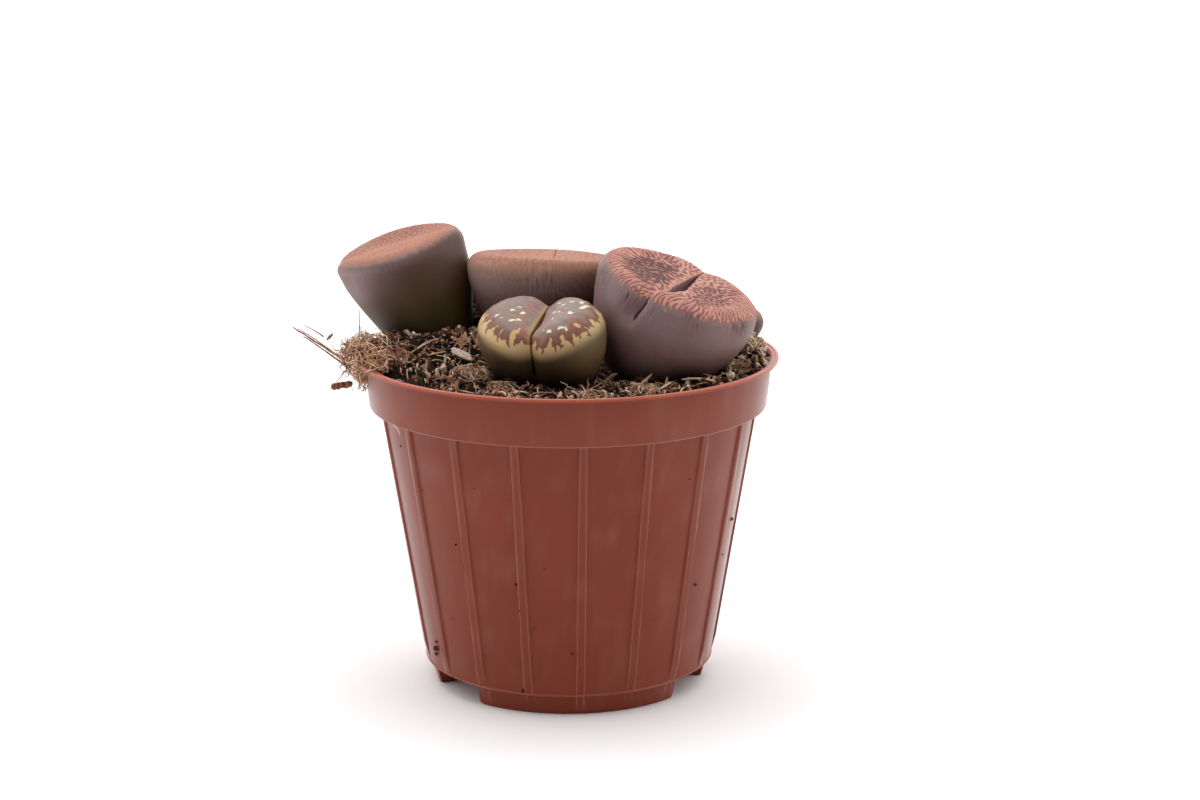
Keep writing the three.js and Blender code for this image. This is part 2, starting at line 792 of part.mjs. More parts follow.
function makeStraw({ along, above, reach, thickness }) {
  const start = new THREE.Vector3(TUFT.x + 1, TUFT.y, TUFT.z - 0.4);
  const bendX = -LIP_RADIUS - STRAW_BEND.out;
  const bendY = TUFT.y + along * STRAW_BEND.along;
  const bend = new THREE.Vector3(bendX, bendY, POT_HEIGHT + STRAW_BEND.above);
  const end = new THREE.Vector3(-reach, TUFT.y + along, POT_HEIGHT + above);
  return makeThread([start, bend, end], thickness, TUFT.strawSteps);
}

// The tuft lies over the rim at the left. Threads of root leave the mix, arch across its matted core
// and end outside the lip, and a few straws stand far out.
function makeTuft(guards) {
  const next = seeded(TUFT.seed);
  const core = new THREE.IcosahedronGeometry(1, 1);
  core.scale(...TUFT.half);
  core.translate(TUFT.x, TUFT.y, TUFT.z);
  const parts = [solidFrom(core)];
  for (let i = 0; i < TUFT.arches; i += 1) {
    parts.push(makeArch(next));
  }
  for (const straw of STRAWS) {
    parts.push(makeStraw(straw));
  }
  const whole = wasm.Manifold.union(parts);
  return largest(guards.reduce((tuft, guard) => tuft.subtract(guard), whole));
}

// A flake of pale wood that lies on the mix.
function makeChip() {
  const { length, width } = CHIP;
  const outline = new THREE.Shape();
  outline.moveTo(-length / 2, -width * 0.3);
  outline.lineTo(length * 0.3, -width / 2);
  outline.lineTo(length / 2, width * 0.2);
  outline.lineTo(-length / 4, width / 2);
  outline.closePath();
  const flake = new THREE.ExtrudeGeometry(outline, { depth: CHIP.thickness, bevelEnabled: false });
  flake.rotateX(radians(CHIP.tiltDeg));
  flake.rotateZ(radians(CHIP.turnDeg));
  flake.translate(CHIP.x, CHIP.y, mixHeight(CHIP.x, CHIP.y) + CHIP.lift);
  return solidFrom(flake);
}

for (const plant of PLANTS) {
  const body = makeLeafBody(plant).subtract(makeCleft(plant));
  addPiece(plant.name, body, { color: plant.colour, roughness: 0.6, metalness: 0 });
}
const sockets = PLANTS.map(makeSocket);
const tuftGuards = [makeRimGuard(), makeMixBody(GAP + MIX_ALLOWANCE), sockets[0]];
addPiece("pot", makePot(), { color: 0x8a4737, roughness: 0.45, metalness: 0 });
addPiece("potting_mix", makeMix(sockets), { color: 0x3a2a20, roughness: 0.95, metalness: 0 });
addPiece("root_fibre_tuft", makeTuft(tuftGuards), { color: 0x9a6a45, roughness: 0.9, metalness: 0 });
addPiece("wood_chip", makeChip(), { color: 0xc9ab88, roughness: 0.8, metalness: 0 });

export default group;
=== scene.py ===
"""Looks of a potted lithops: five leaf pairs in a small moulded nursery pot of peaty mix.

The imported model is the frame. Each class is one sub-assembly: it holds its sizes in millimetres,
measured from the pot's own axis and from the surface that the pot stands on, builds its meshes and
gives them their finish. The front, where the camera stands, is -Y.
"""

import logging
import math
from dataclasses import dataclass, field
from enum import Enum

import bmesh
import bpy
import numpy as np
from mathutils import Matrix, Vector


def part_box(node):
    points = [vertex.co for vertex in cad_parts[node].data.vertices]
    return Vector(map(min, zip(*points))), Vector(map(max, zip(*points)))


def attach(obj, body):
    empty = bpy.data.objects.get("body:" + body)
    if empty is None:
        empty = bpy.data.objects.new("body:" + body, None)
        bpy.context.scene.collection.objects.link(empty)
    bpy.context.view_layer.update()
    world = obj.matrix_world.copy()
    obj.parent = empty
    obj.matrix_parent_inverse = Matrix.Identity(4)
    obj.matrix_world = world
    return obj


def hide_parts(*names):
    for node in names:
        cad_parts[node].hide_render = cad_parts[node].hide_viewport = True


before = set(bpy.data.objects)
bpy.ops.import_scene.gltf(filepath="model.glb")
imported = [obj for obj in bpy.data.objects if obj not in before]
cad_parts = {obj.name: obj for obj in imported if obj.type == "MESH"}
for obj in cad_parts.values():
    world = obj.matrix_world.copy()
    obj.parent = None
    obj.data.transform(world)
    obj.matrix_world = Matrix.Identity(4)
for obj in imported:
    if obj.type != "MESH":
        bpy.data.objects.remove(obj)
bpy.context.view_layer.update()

Array = np.ndarray
Triple = tuple[float, float, float]
Colour = tuple[float, float, float, float]
Draws = np.random.Generator
Piece = bpy.types.Object
Tree = bpy.types.NodeTree
Socket = bpy.types.NodeSocket
LOG = logging.getLogger("potted_lithops")

MM = 0.001
POT_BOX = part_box("pot")
AXIS_X = (POT_BOX[0].x + POT_BOX[1].x) / 2 / MM
LIP_RADIUS = (POT_BOX[1].y - POT_BOX[0].y) / 2 / MM
POT_HEIGHT = POT_BOX[1].z / MM
BODY = "root"


def linear(colour: str) -> Colour:
    """Turns an sRGB hex colour, such as "7b4135", to linear light.

    Args:
        colour: six hex digits.

    Returns:
        Red, green, blue and an alpha of 1.
    """
    parts = [int(colour[i:i + 2], 16) / 255 for i in (0, 2, 4)]
    bright = [p / 12.92 if p <= 0.04045 else ((p + 0.055) / 1.055) ** 2.4 for p in parts]
    return (bright[0], bright[1], bright[2], 1.0)


def ease(values: Array, low: float, high: float) -> Array:
    """Rises smoothly from 0 at low to 1 at high.

    Args:
        values: where to work it out.
        low: the value that gives 0.
        high: the value that gives 1, which may be the lower one.

    Returns:
        One value from 0 to 1 for each of the values.
    """
    share = np.clip((values - low) / (high - low), 0, 1)
    return share * share * (3 - 2 * share)


def unit(vectors: Array) -> Array:
    """Scales vectors, one in each row, to length 1."""
    return vectors / np.maximum(np.linalg.norm(vectors, axis=-1, keepdims=True), 1e-12)


def ripples(points: Array, size_mm: float, seed: int, count: int = 28) -> Array:
    """A smooth random field: many plane waves of about one size, in every direction.

    Args:
        points: places in millimetres, one in each row, with two or three coordinates.
        size_mm: the usual distance from a high to the next.
        seed: chooses the waves.
        count: how many waves are added.

    Returns:
        One value for each place, usually from -2 to 2, with a mean of 0.
    """
    random = np.random.default_rng(seed)
    directions = unit(random.normal(size=(count, points.shape[-1])))
    turns = directions * (2 * math.pi / size_mm) * random.uniform(0.6, 1.5, (count, 1))
    phases = random.uniform(0, 2 * math.pi, count)
    return np.cos(points @ turns.T + phases).sum(axis=-1) * math.sqrt(2 / count)


def round_axis(radius: Array, angle: Array, z: Array | float) -> Array:
    """Places round the pot's axis, from their radius, angle and height."""
    return np.stack(np.broadcast_arrays(radius * np.cos(angle), radius * np.sin(angle), z), axis=-1)


def rotation(first: int, second: int, degrees: float) -> Array:
    """A matrix that turns from one axis towards another.

    Args:
        first: the number of the axis that it turns from.
        second: the number of the axis that it turns towards.
        degrees: how far it turns.

    Returns:
        3 x 3 values.
    """
    angle = math.radians(degrees)
    matrix = np.eye(3)
    matrix[first, first] = math.cos(angle)
    matrix[second, second] = math.cos(angle)
    matrix[first, second] = -math.sin(angle)
    matrix[second, first] = math.sin(angle)
    return matrix


def ring_walls(rings: Array, flipped: bool = False) -> Array:
    """Faces between rings of point numbers, each ring closed on itself.

    Args:
        rings: rings x places point numbers.
        flipped: whether the faces look the other way.

    Returns:
        The four corners of each face.
    """
    after = np.roll(rings, -1, axis=1)
    corners = [rings[:-1], rings[1:], after[1:], after[:-1]]
    if flipped:
        corners = [corners[0], *corners[:0:-1]]
    return np.stack(corners, axis=-1).reshape(-1, 4)


def fan(hub: int, ring: Array, flipped: bool = False) -> Array:
    """Triangles from a middle point to a closed ring of point numbers.

    Args:
        hub: the middle point's number.
        ring: the ring's point numbers.
        flipped: whether the triangles look the other way.

    Returns:
        The three corners of each triangle.
    """
    corners = [ring, np.roll(ring, -1)]
    return np.stack([np.full(len(ring), hub), *(corners[::-1] if flipped else corners)], axis=-1)


def write_masks(mesh: bpy.types.Mesh, masks: dict[str, Array]) -> None:
    """Stores one value a point for each mask, which the finishes read.

    Args:
        mesh: the mesh that gets them.
        masks: the values by name.
    """
    for name, values in masks.items():
        attribute = mesh.attributes.new(name, "FLOAT", "POINT")
        attribute.data.foreach_set("value", values.astype(np.float32))


@dataclass
class Shape:
    """A mesh in the making: points in millimetres, faces, and one value a point for each mask."""

    points: Array
    faces: list[Array]
    masks: dict[str, Array] = field(default_factory=dict)

    @staticmethod
    def joined(shapes: list["Shape"]) -> "Shape":
        """Puts several shapes with the same masks into one.

        Args:
            shapes: what to join.

        Returns:
            One shape with all their points and faces.
        """
        faces: list[Array] = []
        start = 0
        for shape in shapes:
            faces += [part + start for part in shape.faces]
            start += len(shape.points)
        masks = {name: np.concatenate([shape.masks[name] for shape in shapes]) for name in shapes[0].masks}
        return Shape(np.concatenate([shape.points for shape in shapes]), faces, masks)

    def normals(self) -> Array:
        """The mean normal of the faces round each point.

        Returns:
            points x 3 values, each of length 1.
        """
        total = np.zeros_like(self.points)
        for part in self.faces:
            corners = self.points[part]
            across = corners[:, -1] - corners[:, 1]
            along = corners[:, 2] - corners[:, 0]
            normal = np.cross(along, across)
            for column in range(part.shape[1]):
                for axis in range(3):
                    total[:, axis] += np.bincount(part[:, column], normal[:, axis], len(total))
        return unit(total)

    def to_object(self, name: str, material: bpy.types.Material, smooth: bool = True) -> Piece:
        """Makes the Blender object, at the pot's place in the frame.

        Args:
            name: the piece's name.
            material: its finish.
            smooth: whether its faces are shaded smoothly.

        Returns:
            The object, linked to the scene.
        """
        mesh = bpy.data.meshes.new(name)
        corners = np.concatenate([part.ravel() for part in self.faces])
        sizes = np.concatenate([np.full(len(part), part.shape[1]) for part in self.faces])
        starts = np.concatenate([[0], np.cumsum(sizes)[:-1]])
        mesh.vertices.add(len(self.points))
        mesh.vertices.foreach_set("co", ((self.points + [AXIS_X, 0, 0]) * MM).ravel())
        mesh.loops.add(len(corners))
        mesh.loops.foreach_set("vertex_index", corners.astype(np.int32))
        mesh.polygons.add(len(sizes))
        mesh.polygons.foreach_set("loop_start", starts.astype(np.int32))
        mesh.update(calc_edges=True)
        write_masks(mesh, self.masks)
        mesh.polygons.foreach_set("use_smooth", np.full(len(sizes), smooth))
        mesh.materials.append(material)
        made = bpy.data.objects.new(name, mesh)
        bpy.context.scene.collection.objects.link(made)
        return made


def threads(paths: Array, radii: Array, sides: int, tints: Array) -> Shape:
    """Sweeps a round section along many paths at once.

    Args:
        paths: threads x steps x 3 places.
        radii: threads x steps radii.
        sides: sides of the section.
        tints: one value a thread, which its finish turns to a colour.

    Returns:
        All the threads, closed at both ends, with the mask "tint".
    """
    count, steps, _ = paths.shape
    tangents = unit(np.gradient(paths, axis=1))
    chords = unit(paths[:, -1] - paths[:, 0])
    helper = np.where(np.abs(chords[:, 2:]) > 0.8, [[1.0, 0.0, 0.0]], [[0.0, 0.0, 1.0]])
    first = unit(np.cross(tangents, unit(np.cross(chords, helper))[:, None, :]))
    second = np.cross(tangents, first)
    angles = 2 * math.pi * np.arange(sides) / sides
    ring = first[:, :, None] * np.cos(angles)[:, None] + second[:, :, None] * np.sin(angles)[:, None]
    walls = paths[:, :, None] + ring * radii[:, :, None, None]
    points = np.concatenate([walls.reshape(count, -1, 3), paths[:, :1], paths[:, -1:]], axis=1)
    near = np.arange(sides)
    far = (near + 1) % sides
    step = (np.arange(steps - 1) * sides)[:, None]
    quads = np.stack([step + near, step + far, step + sides + far, step + sides + near], axis=-1)
    last = (steps - 1) * sides
    hub = steps * sides
    start_cap = np.stack([far, near, np.full(sides, hub)], axis=-1)
    end_cap = np.stack([last + near, last + far, np.full(sides, hub + 1)], axis=-1)
    offsets = np.arange(count)[:, None, None] * (hub + 2)
    faces = [(part.reshape(-1, part.shape[-1]) + offsets).reshape(-1, part.shape[-1])
             for part in (quads, start_cap, end_cap)]
    return Shape(points.reshape(-1, 3), faces, {"tint": np.repeat(tints, hub + 2)})


def bent(controls: Array, steps: int) -> Array:
    """Cubic curves from four control points each.

    Args:
        controls: threads x 4 x 3 places. A curve starts at the first and ends at the last.
        steps: places on each curve.

    Returns:
        threads x steps x 3 places.
    """
    t = np.linspace(0, 1, steps)[:, None]
    weights = np.concatenate([(1 - t) ** 3, 3 * t * (1 - t) ** 2, 3 * t * t * (1 - t), t ** 3], axis=1)
    return np.einsum("sk,nkc->nsc", weights, controls)


def turned_at_random(random: Draws, count: int) -> Array:
    """Rotation matrices in all directions alike.

    Args:
        random: the source of the draws.
        count: how many matrices.

    Returns:
        count x 3 x 3 values.
    """
    x, y, z, w = unit(random.normal(size=(count, 4))).T
    return np.stack([
        1 - 2 * (y * y + z * z), 2 * (x * y - z * w), 2 * (x * z + y * w),
        2 * (x * y + z * w), 1 - 2 * (x * x + z * z), 2 * (y * z - x * w),
        2 * (x * z - y * w), 2 * (y * z + x * w), 1 - 2 * (x * x + y * y),
    ], axis=-1).reshape(count, 3, 3)


def lumps(random: Draws, centres: Array, sizes: Array, level: int, tints: Array) -> Shape:
    """Irregular crumbs: balls of triangles, stretched, dented and turned at random.

    Args:
        random: the source of the draws.
        centres: crumbs x 3 places.
        sizes: crumbs x 3 half sizes.
        level: 1 for twenty faces a crumb, 2 for eighty.
        tints: one value a crumb, which its finish turns to a colour.

    Returns:
        All the crumbs, with the mask "tint".
    """
    ball = bmesh.new()
    bmesh.ops.create_icosphere(ball, subdivisions=level, radius=1.0)
    points = np.array([vertex.co for vertex in ball.verts])
    triangles = np.array([[vertex.index for vertex in face.verts] for face in ball.faces])
    ball.free()
    count = len(centres)
    dents = random.uniform(0.68, 1.2, (count, len(points), 1))
    turns = turned_at_random(random, count)
    placed = np.einsum("nij,nkj->nki", turns, points[None] * dents * sizes[:, None, :]) + centres[:, None]
    offsets = np.arange(count)[:, None, None] * len(points)
    faces = (triangles[None] + offsets).reshape(-1, 3)
    return Shape(placed.reshape(-1, 3), [faces], {"tint": np.repeat(tints, len(points))})


def add_node(tree: Tree, kind: str, settings: dict | None = None,
             links: dict | None = None) -> bpy.types.Node:
    """Adds a node with its settings and links.

    Args:
        tree: the tree to add it to.
        kind: Blender's name for the node type.
        settings: values by property name, or by the name or number of an input.
        links: sockets to link from, by the name or number of an input.

    Returns:
        The new node.
    """
    node = tree.nodes.new(kind)
    for key, value in (settings or {}).items():
        if isinstance(key, str) and hasattr(node, key):
            setattr(node, key, value)
        else:
            node.inputs[key].default_value = value
    for key, socket in (links or {}).items():
        tree.links.new(socket, node.inputs[key])
    return node


@dataclass(frozen=True)
class Tint:
    """A colour that a mask of the mesh lays over what is under it."""

    mask: str
    colour: str
    strength: float = 1.0

    def over(self, tree: Tree, under: Socket) -> Socket:
        """Adds the nodes that lay this tint over a colour.

        Args:
            tree: the material's tree.
            under: the colour so far.

        Returns:
            The new colour.
        """
        mask = add_node(tree, "ShaderNodeAttribute", {"attribute_name": self.mask})
        share = add_node(tree, "ShaderNodeMath",
                         {"operation": "MULTIPLY", 1: self.strength, "use_clamp": True},
                         {0: mask.outputs["Fac"]})
        mixed = add_node(tree, "ShaderNodeMix", {"data_type": "RGBA", 7: linear(self.colour)},
                         {0: share.outputs[0], 6: under})
        return mixed.outputs[2]


@dataclass(frozen=True)
class Speckle:
    """A fine random pattern of light and dark of one grain size."""

    grain_mm: float
    dark: float
    light: float
    detail: float = 2.0

    def over(self, tree: Tree, under: Socket) -> Socket:
        """Adds the nodes that lay this pattern over a colour.

        Args:
            tree: the material's tree.
            under: the colour so far.

        Returns:
            The new colour.
        """
        place = add_node(tree, "ShaderNodeTexCoord")
        noise = add_node(tree, "ShaderNodeTexNoise",
                         {"Scale": 1 / (self.grain_mm * MM), "Detail": self.detail},
                         {"Vector": place.outputs["Object"]})
        level = add_node(tree, "ShaderNodeMapRange",
                         {"From Min": 0.3, "From Max": 0.7, "To Min": self.dark, "To Max": self.light},
                         {"Value": noise.outputs["Fac"]})
        mixed = add_node(tree, "ShaderNodeMix", {"data_type": "RGBA", "blend_type": "MULTIPLY", 0: 1.0},
                         {6: under, 7: level.outputs[0]})
        return mixed.outputs[2]


@dataclass(frozen=True)
class AnyFinish:
    """What every finish has: a name, and a material that is made once."""

    name: str

    def dress(self, tree: Tree, shader: bpy.types.Node) -> None:
        """Adds the nodes of one kind of finish to a new material."""
        raise NotImplementedError

    def material(self) -> bpy.types.Material:
        """Makes the material from nodes, or gives the one already made.

        Returns:
            The material, which has the finish's name.
        """
        made = bpy.data.materials.get(self.name)
        if made is None:
            made = bpy.data.materials.new(self.name)
            made.use_nodes = True
            self.dress(made.node_tree, made.node_tree.nodes["Principled BSDF"])
        return made


@dataclass(frozen=True)
class Finish(AnyFinish):
    """A surface: its ground colour, what lies over it, and how it takes the light."""

    ground: str
    layers: tuple[Tint | Speckle, ...]
    roughness: float
    ior: float
    bump_grain_mm: float
    bump_mm: float
    subsurface: float = 0.0
    subsurface_mm: float = 0.5
    specular: float = 0.3
    sheen: float = 0.0
    matt_mask: str = ""

    MATT = 0.8
    SHEEN_ROUGHNESS = 0.25

    def dress(self, tree: Tree, shader: bpy.types.Node) -> None:
        """Adds the colour layers, the fine relief and the gloss.

        Args:
            tree: the new material's tree.
            shader: its surface shader.
        """
        ground = add_node(tree, "ShaderNodeRGB")
        ground.outputs[0].default_value = linear(self.ground)
        colour = ground.outputs[0]
        for layer in self.layers:
            colour = layer.over(tree, colour)
        tree.links.new(colour, shader.inputs["Base Color"])
        place = add_node(tree, "ShaderNodeTexCoord")
        grain = add_node(tree, "ShaderNodeTexNoise",
                         {"Scale": 1 / (self.bump_grain_mm * MM), "Detail": 3.0, "Roughness": 0.6},
                         {"Vector": place.outputs["Object"]})
        bump = add_node(tree, "ShaderNodeBump", {"Distance": self.bump_mm * MM, "Strength": 1.0},
                        {"Height": grain.outputs["Fac"]})
        tree.links.new(bump.outputs[0], shader.inputs["Normal"])
        constants = {
            "Roughness": self.roughness, "IOR": self.ior, "Metallic": 0.0,
            "Specular IOR Level": self.specular,
            "Sheen Weight": self.sheen, "Sheen Roughness": self.SHEEN_ROUGHNESS,
            "Subsurface Weight": self.subsurface, "Subsurface Scale": self.subsurface_mm * MM,
        }
        for socket, value in constants.items():
            shader.inputs[socket].default_value = value
        if self.matt_mask:
            mask = add_node(tree, "ShaderNodeAttribute", {"attribute_name": self.matt_mask})
            level = add_node(tree, "ShaderNodeMapRange", {"To Min": self.roughness, "To Max": self.MATT},
                             {"Value": mask.outputs["Fac"]})
            tree.links.new(level.outputs[0], shader.inputs["Roughness"])


# Leaf skin is a waxy cuticle over a thick wet tissue. It is satin, finely pitted, and lets a little
# light in, so its edges look soft. The raised lines of the face are drier, so they are paler and matt.
# The grain of the pits was set.
NETTED_SKIN = Finish(
    "waxy leaf skin, netted",
    "7a605c",
    (
        Speckle(grain_mm=3.2, dark=0.9, light=1.08),
        # Partly olive tissue and partly painted shade, low on the sides.
        Tint("olive", "3f3116", 0.92),
        Tint("mauve", "7d686a", 0.8),
        Tint("wash", "a9796a", 0.9),
        Tint("face", "8b5655"),
        Tint("hollow", "4a2a2c", 0.9),
        Tint("tan", "bb8a79"),
        Tint("hollow", "5c3c39", 0.5),
        Tint("lip", "b48675", 0.75),
        # Painted shade in the wrinkles below the rim.
        Tint("groove", "402826", 0.6),
        # Painted shade: the skin darkens towards the mix.
        Tint("low", "150a07", 0.95),
        Tint("wall", "86666a"),
        # Painted shade deep inside the fissure.
        Tint("deep", "24130f"),
        Speckle(grain_mm=0.2, dark=0.94, light=1.06),
    ),
    roughness=0.5, ior=1.45, bump_grain_mm=0.16, bump_mm=0.012, subsurface=0.12, matt_mask="face",
)
# The same skin where it has grown in more shade: browner, with olive tissue showing through below.
# Its brown and olive tints on the sides are partly that colour and partly painted shade.
BROWN_SKIN = Finish(
    "waxy leaf skin, shaded",
    "7a605a",
    (
        Speckle(grain_mm=3.2, dark=0.92, light=1.07),
        Tint("mauve", "94807e", 0.8),
        # Partly the skin's own brown and olive and partly painted shade, on the sides.
        Tint("brown", "4c332c", 0.95),
        Tint("olive", "42310c", 0.95),
        Tint("wash", "ad8471", 0.9),
        Tint("face", "8d5c51"),
        Tint("hollow", "865a52", 0.8),
        Tint("tan", "a2735f"),
        Tint("dash", "a85c3e", 0.75),
        Tint("lip", "a06e5a", 0.6),
        # Painted shade in the wrinkles below the rim.
        Tint("groove", "4a2f2c", 0.3),
        # Painted shade: the skin darkens towards the mix.
        Tint("low", "120905", 0.95),
        Tint("wall", "7a5142"),
        # Painted shade deep inside the fissure.
        Tint("deep", "2b1812"),
        Speckle(grain_mm=0.2, dark=0.94, light=1.06),
    ),
    roughness=0.5, ior=1.45, bump_grain_mm=0.16, bump_mm=0.012, subsurface=0.12, matt_mask="face",
)
# The skin of the green pair: an olive body, and grey windows inside a toothed cream margin with teeth.
# Its dark olive tint low on the sides is partly the body's own colour and partly painted shade.
GREEN_SKIN = Finish(
    "waxy leaf skin, windowed",
    "695637",
    (
        Speckle(grain_mm=2.6, dark=0.93, light=1.07),
        # Partly the body's own olive and partly painted shade, low on the sides.
        Tint("olive", "271b0d", 0.92),
        Tint("mauve", "6f5d4f", 0.6),
        Tint("cream", "bfa172"),
        Tint("window", "7d685f"),
        Tint("pinkish", "8a7673", 0.7),
        Tint("stain", "744734", 0.9),
        Tint("red", "a04a40", 0.85),
        Tint("fleck", "e8d9ad"),
        Tint("lip", "a07b48", 0.9),
        # Painted shade: the skin darkens towards the mix.
        Tint("low", "150a05"),
        # Painted shade deep inside the fissure.
        Tint("deep", "1a0d04"),
        Speckle(grain_mm=0.2, dark=0.95, light=1.05),
    ),
    roughness=0.42, ior=1.45, bump_grain_mm=0.2, bump_mm=0.008, subsurface=0.15,
)

# Polypropylene, injection moulded: satin, a little translucent at thin edges, with faint flow marks
# and dust on it. The pale lines at the ribs' edges and the band's foot are painted highlights, and the
# orange at the lip and the seam is painted highlight and glow through the thin plastic.
POT_PLASTIC = Finish(
    "moulded polypropylene",
    "76280a",
    (
        Speckle(grain_mm=14.0, dark=0.96, light=1.04),
        Speckle(grain_mm=0.5, dark=0.98, light=1.02),
        # Painted highlight: pale lines along the ribs' edges and the band's foot.
        Tint("rib", "b07868", 0.4),
        # Painted highlight and glow through the thin plastic at the lip, fainter along the seam.
        Tint("edge", "b5583d", 0.75),
        Tint("dust", "cfb0a2", 0.05),
    ),
    roughness=0.45, ior=1.49, bump_grain_mm=0.35, bump_mm=0.006, subsurface=0.1, specular=0.32, sheen=1.0,
)

# Peat and composted bark: matt, with dry brown and grey crumbs. Its nearly black ground is partly the
# colour of damp peat and partly painted shade for the gaps between the crumbs.
PEAT_BED = Finish(
    "damp sieved peat, painted gap shade",
    "150d09",
    (Speckle(grain_mm=0.6, dark=0.5, light=1.9), Speckle(grain_mm=0.15, dark=0.7, light=1.3)),
    roughness=0.95, ior=1.35, bump_grain_mm=0.3, bump_mm=0.15,
)


@dataclass(frozen=True)
class RampFinish(AnyFinish):
    """A dry plant scrap whose pieces differ: each one's tint picks its colour from a row of colours."""

    colours: tuple[str, ...]
    roughness: float
    streak_mm: float
    ior: float = 1.4

    def dress(self, tree: Tree, shader: bpy.types.Node) -> None:
        """Adds the row of colours, with fine streaks over it.

        Args:
            tree: the new material's tree.
            shader: its surface shader.
        """
        tint = add_node(tree, "ShaderNodeAttribute", {"attribute_name": "tint"})
        ramp = add_node(tree, "ShaderNodeValToRGB", links={"Fac": tint.outputs["Fac"]})
        stops = ramp.color_ramp.elements
        for number, colour in enumerate(self.colours):
            place = number / (len(self.colours) - 1)
            stop = stops[number] if number < 2 else stops.new(place)
            stop.position = place
            stop.color = linear(colour)
        colour_out = Speckle(self.streak_mm, 0.72, 1.25, 3.0).over(tree, ramp.outputs["Color"])
        tree.links.new(colour_out, shader.inputs["Base Color"])
        shader.inputs["Roughness"].default_value = self.roughness
        shader.inputs["IOR"].default_value = self.ior


# Crumbs of peat and bark, from damp black through brown to dry pale tan.
MIX_CRUMBS = RampFinish(
    "peat and bark crumbs",
    ("0f0906", "26160f", "4c2e20", "794f39", "a5785c", "bf987c", "d9c4b0"),
    roughness=0.9,
    streak_mm=0.25,
)
# Dry peat fibre: tan to straw-coloured threads, with some brown ones.
MIX_FIBRE = RampFinish(
    "dry peat fibre",
    ("3a241a", "7a4e37", "a97b59", "c69d7d", "d8bda2", "e5d7c7"),
    roughness=0.8,
    streak_mm=0.3,
)
# Dry root: orange-tan threads, with some dark brown and some pale ones. Its dark end also paints the
# shade in the tangle's core.
ROOT_FIBRE = RampFinish(
    "dry root fibre",
    ("1c0f09", "4a2a1b", "8a5b41", "bd8c6b", "d6ac8a", "e8ccb2"),
    roughness=0.75,
    streak_mm=0.3,
)
# Split conifer wood: pale, with a silky face.
PALE_WOOD = RampFinish("split pale wood", ("8f7565", "c0a796", "dccabb"), roughness=0.7, streak_mm=0.4)


class Pattern(Enum):
    """What the face of a leaf pair shows."""

    NET = "raised tan net on a purple ground"
    SHADED_NET = "raised tan net on a brown ground"
    WINDOWS = "grey windows inside a toothed cream margin"


@dataclass
class Cleft:
    """The fissure between the two leaves of a pair."""

    depth: float
    gap: float
    front: float
    back: float
    valley: float
    offset: float = 0.0
    bow: float = 0.0
    opening: float = 0.0
    opening_at: float = 0.0
    opening_reach: float = 3.0
    side_shift: float = 0.0
    front_rise: float = 1.0
    flanks: tuple[float, float] = (2.0, 2.0)
    path: tuple[Triple, ...] = ()
    lip_lift: float = 0.0
    lip_span: tuple[float, float, float, float] = (-9.2, -7.9, -5.5, -1.5)

    def opened(self, u: Array) -> Array:
        """Half of how much wider the fissure stands open, at places along the face."""
        return np.exp(-(((u - self.opening_at) / self.opening_reach) ** 2)) * self.opening / 2

    def followed(self, u: Array, column: int) -> Array:
        """Reads one column of the path, with its corners rounded.

        Args:
            u: places along the face.
            column: 1 for the middle line's place, 2 for half the width.

        Returns:
            The column's value at each.
        """
        rows = np.array(self.path)
        steps = (-0.5, -0.25, 0.0, 0.25, 0.5)
        return sum(np.interp(u + step, rows[:, 0], rows[:, column]) for step in steps) / len(steps)

    def course(self, u: Array, along: float) -> Array:
        """Where the fissure's middle line runs, across the face.

        Args:
            u: places along the face.
            along: the face's half size that way.

        Returns:
            The sideways place at each.
        """
        if self.path:
            return self.followed(u, 1)
        return self.offset + self.bow * (1 - (u / along) ** 2) + self.opened(u)

    def half_gap(self, u: Array, along: float) -> Array:
        """Half the fissure's width, which narrows towards its ends.

        Args:
            u: places along the face.
            along: the face's half size that way.

        Returns:
            Half the width at each.
        """
        if self.path:
            return self.followed(u, 2)
        return self.gap / 2 * (1 - 0.7 * (u / (along + 1)) ** 2) + self.opened(u)


@dataclass
class Skin:
    """Places on a leaf pair's skin, before they are set in space."""

    u: Array
    v: Array
    share: Array
    x: Array
    y: Array
    over: Array
    down: Array
    slot: Array
    wall: Array

    @staticmethod
    def joined(parts: list["Skin"]) -> "Skin":
        """Puts several stretches of skin together, in order."""
        names = ("u", "v", "share", "x", "y", "over", "down", "slot", "wall")
        return Skin(*[np.concatenate([getattr(part, name).ravel() for part in parts]) for name in names])


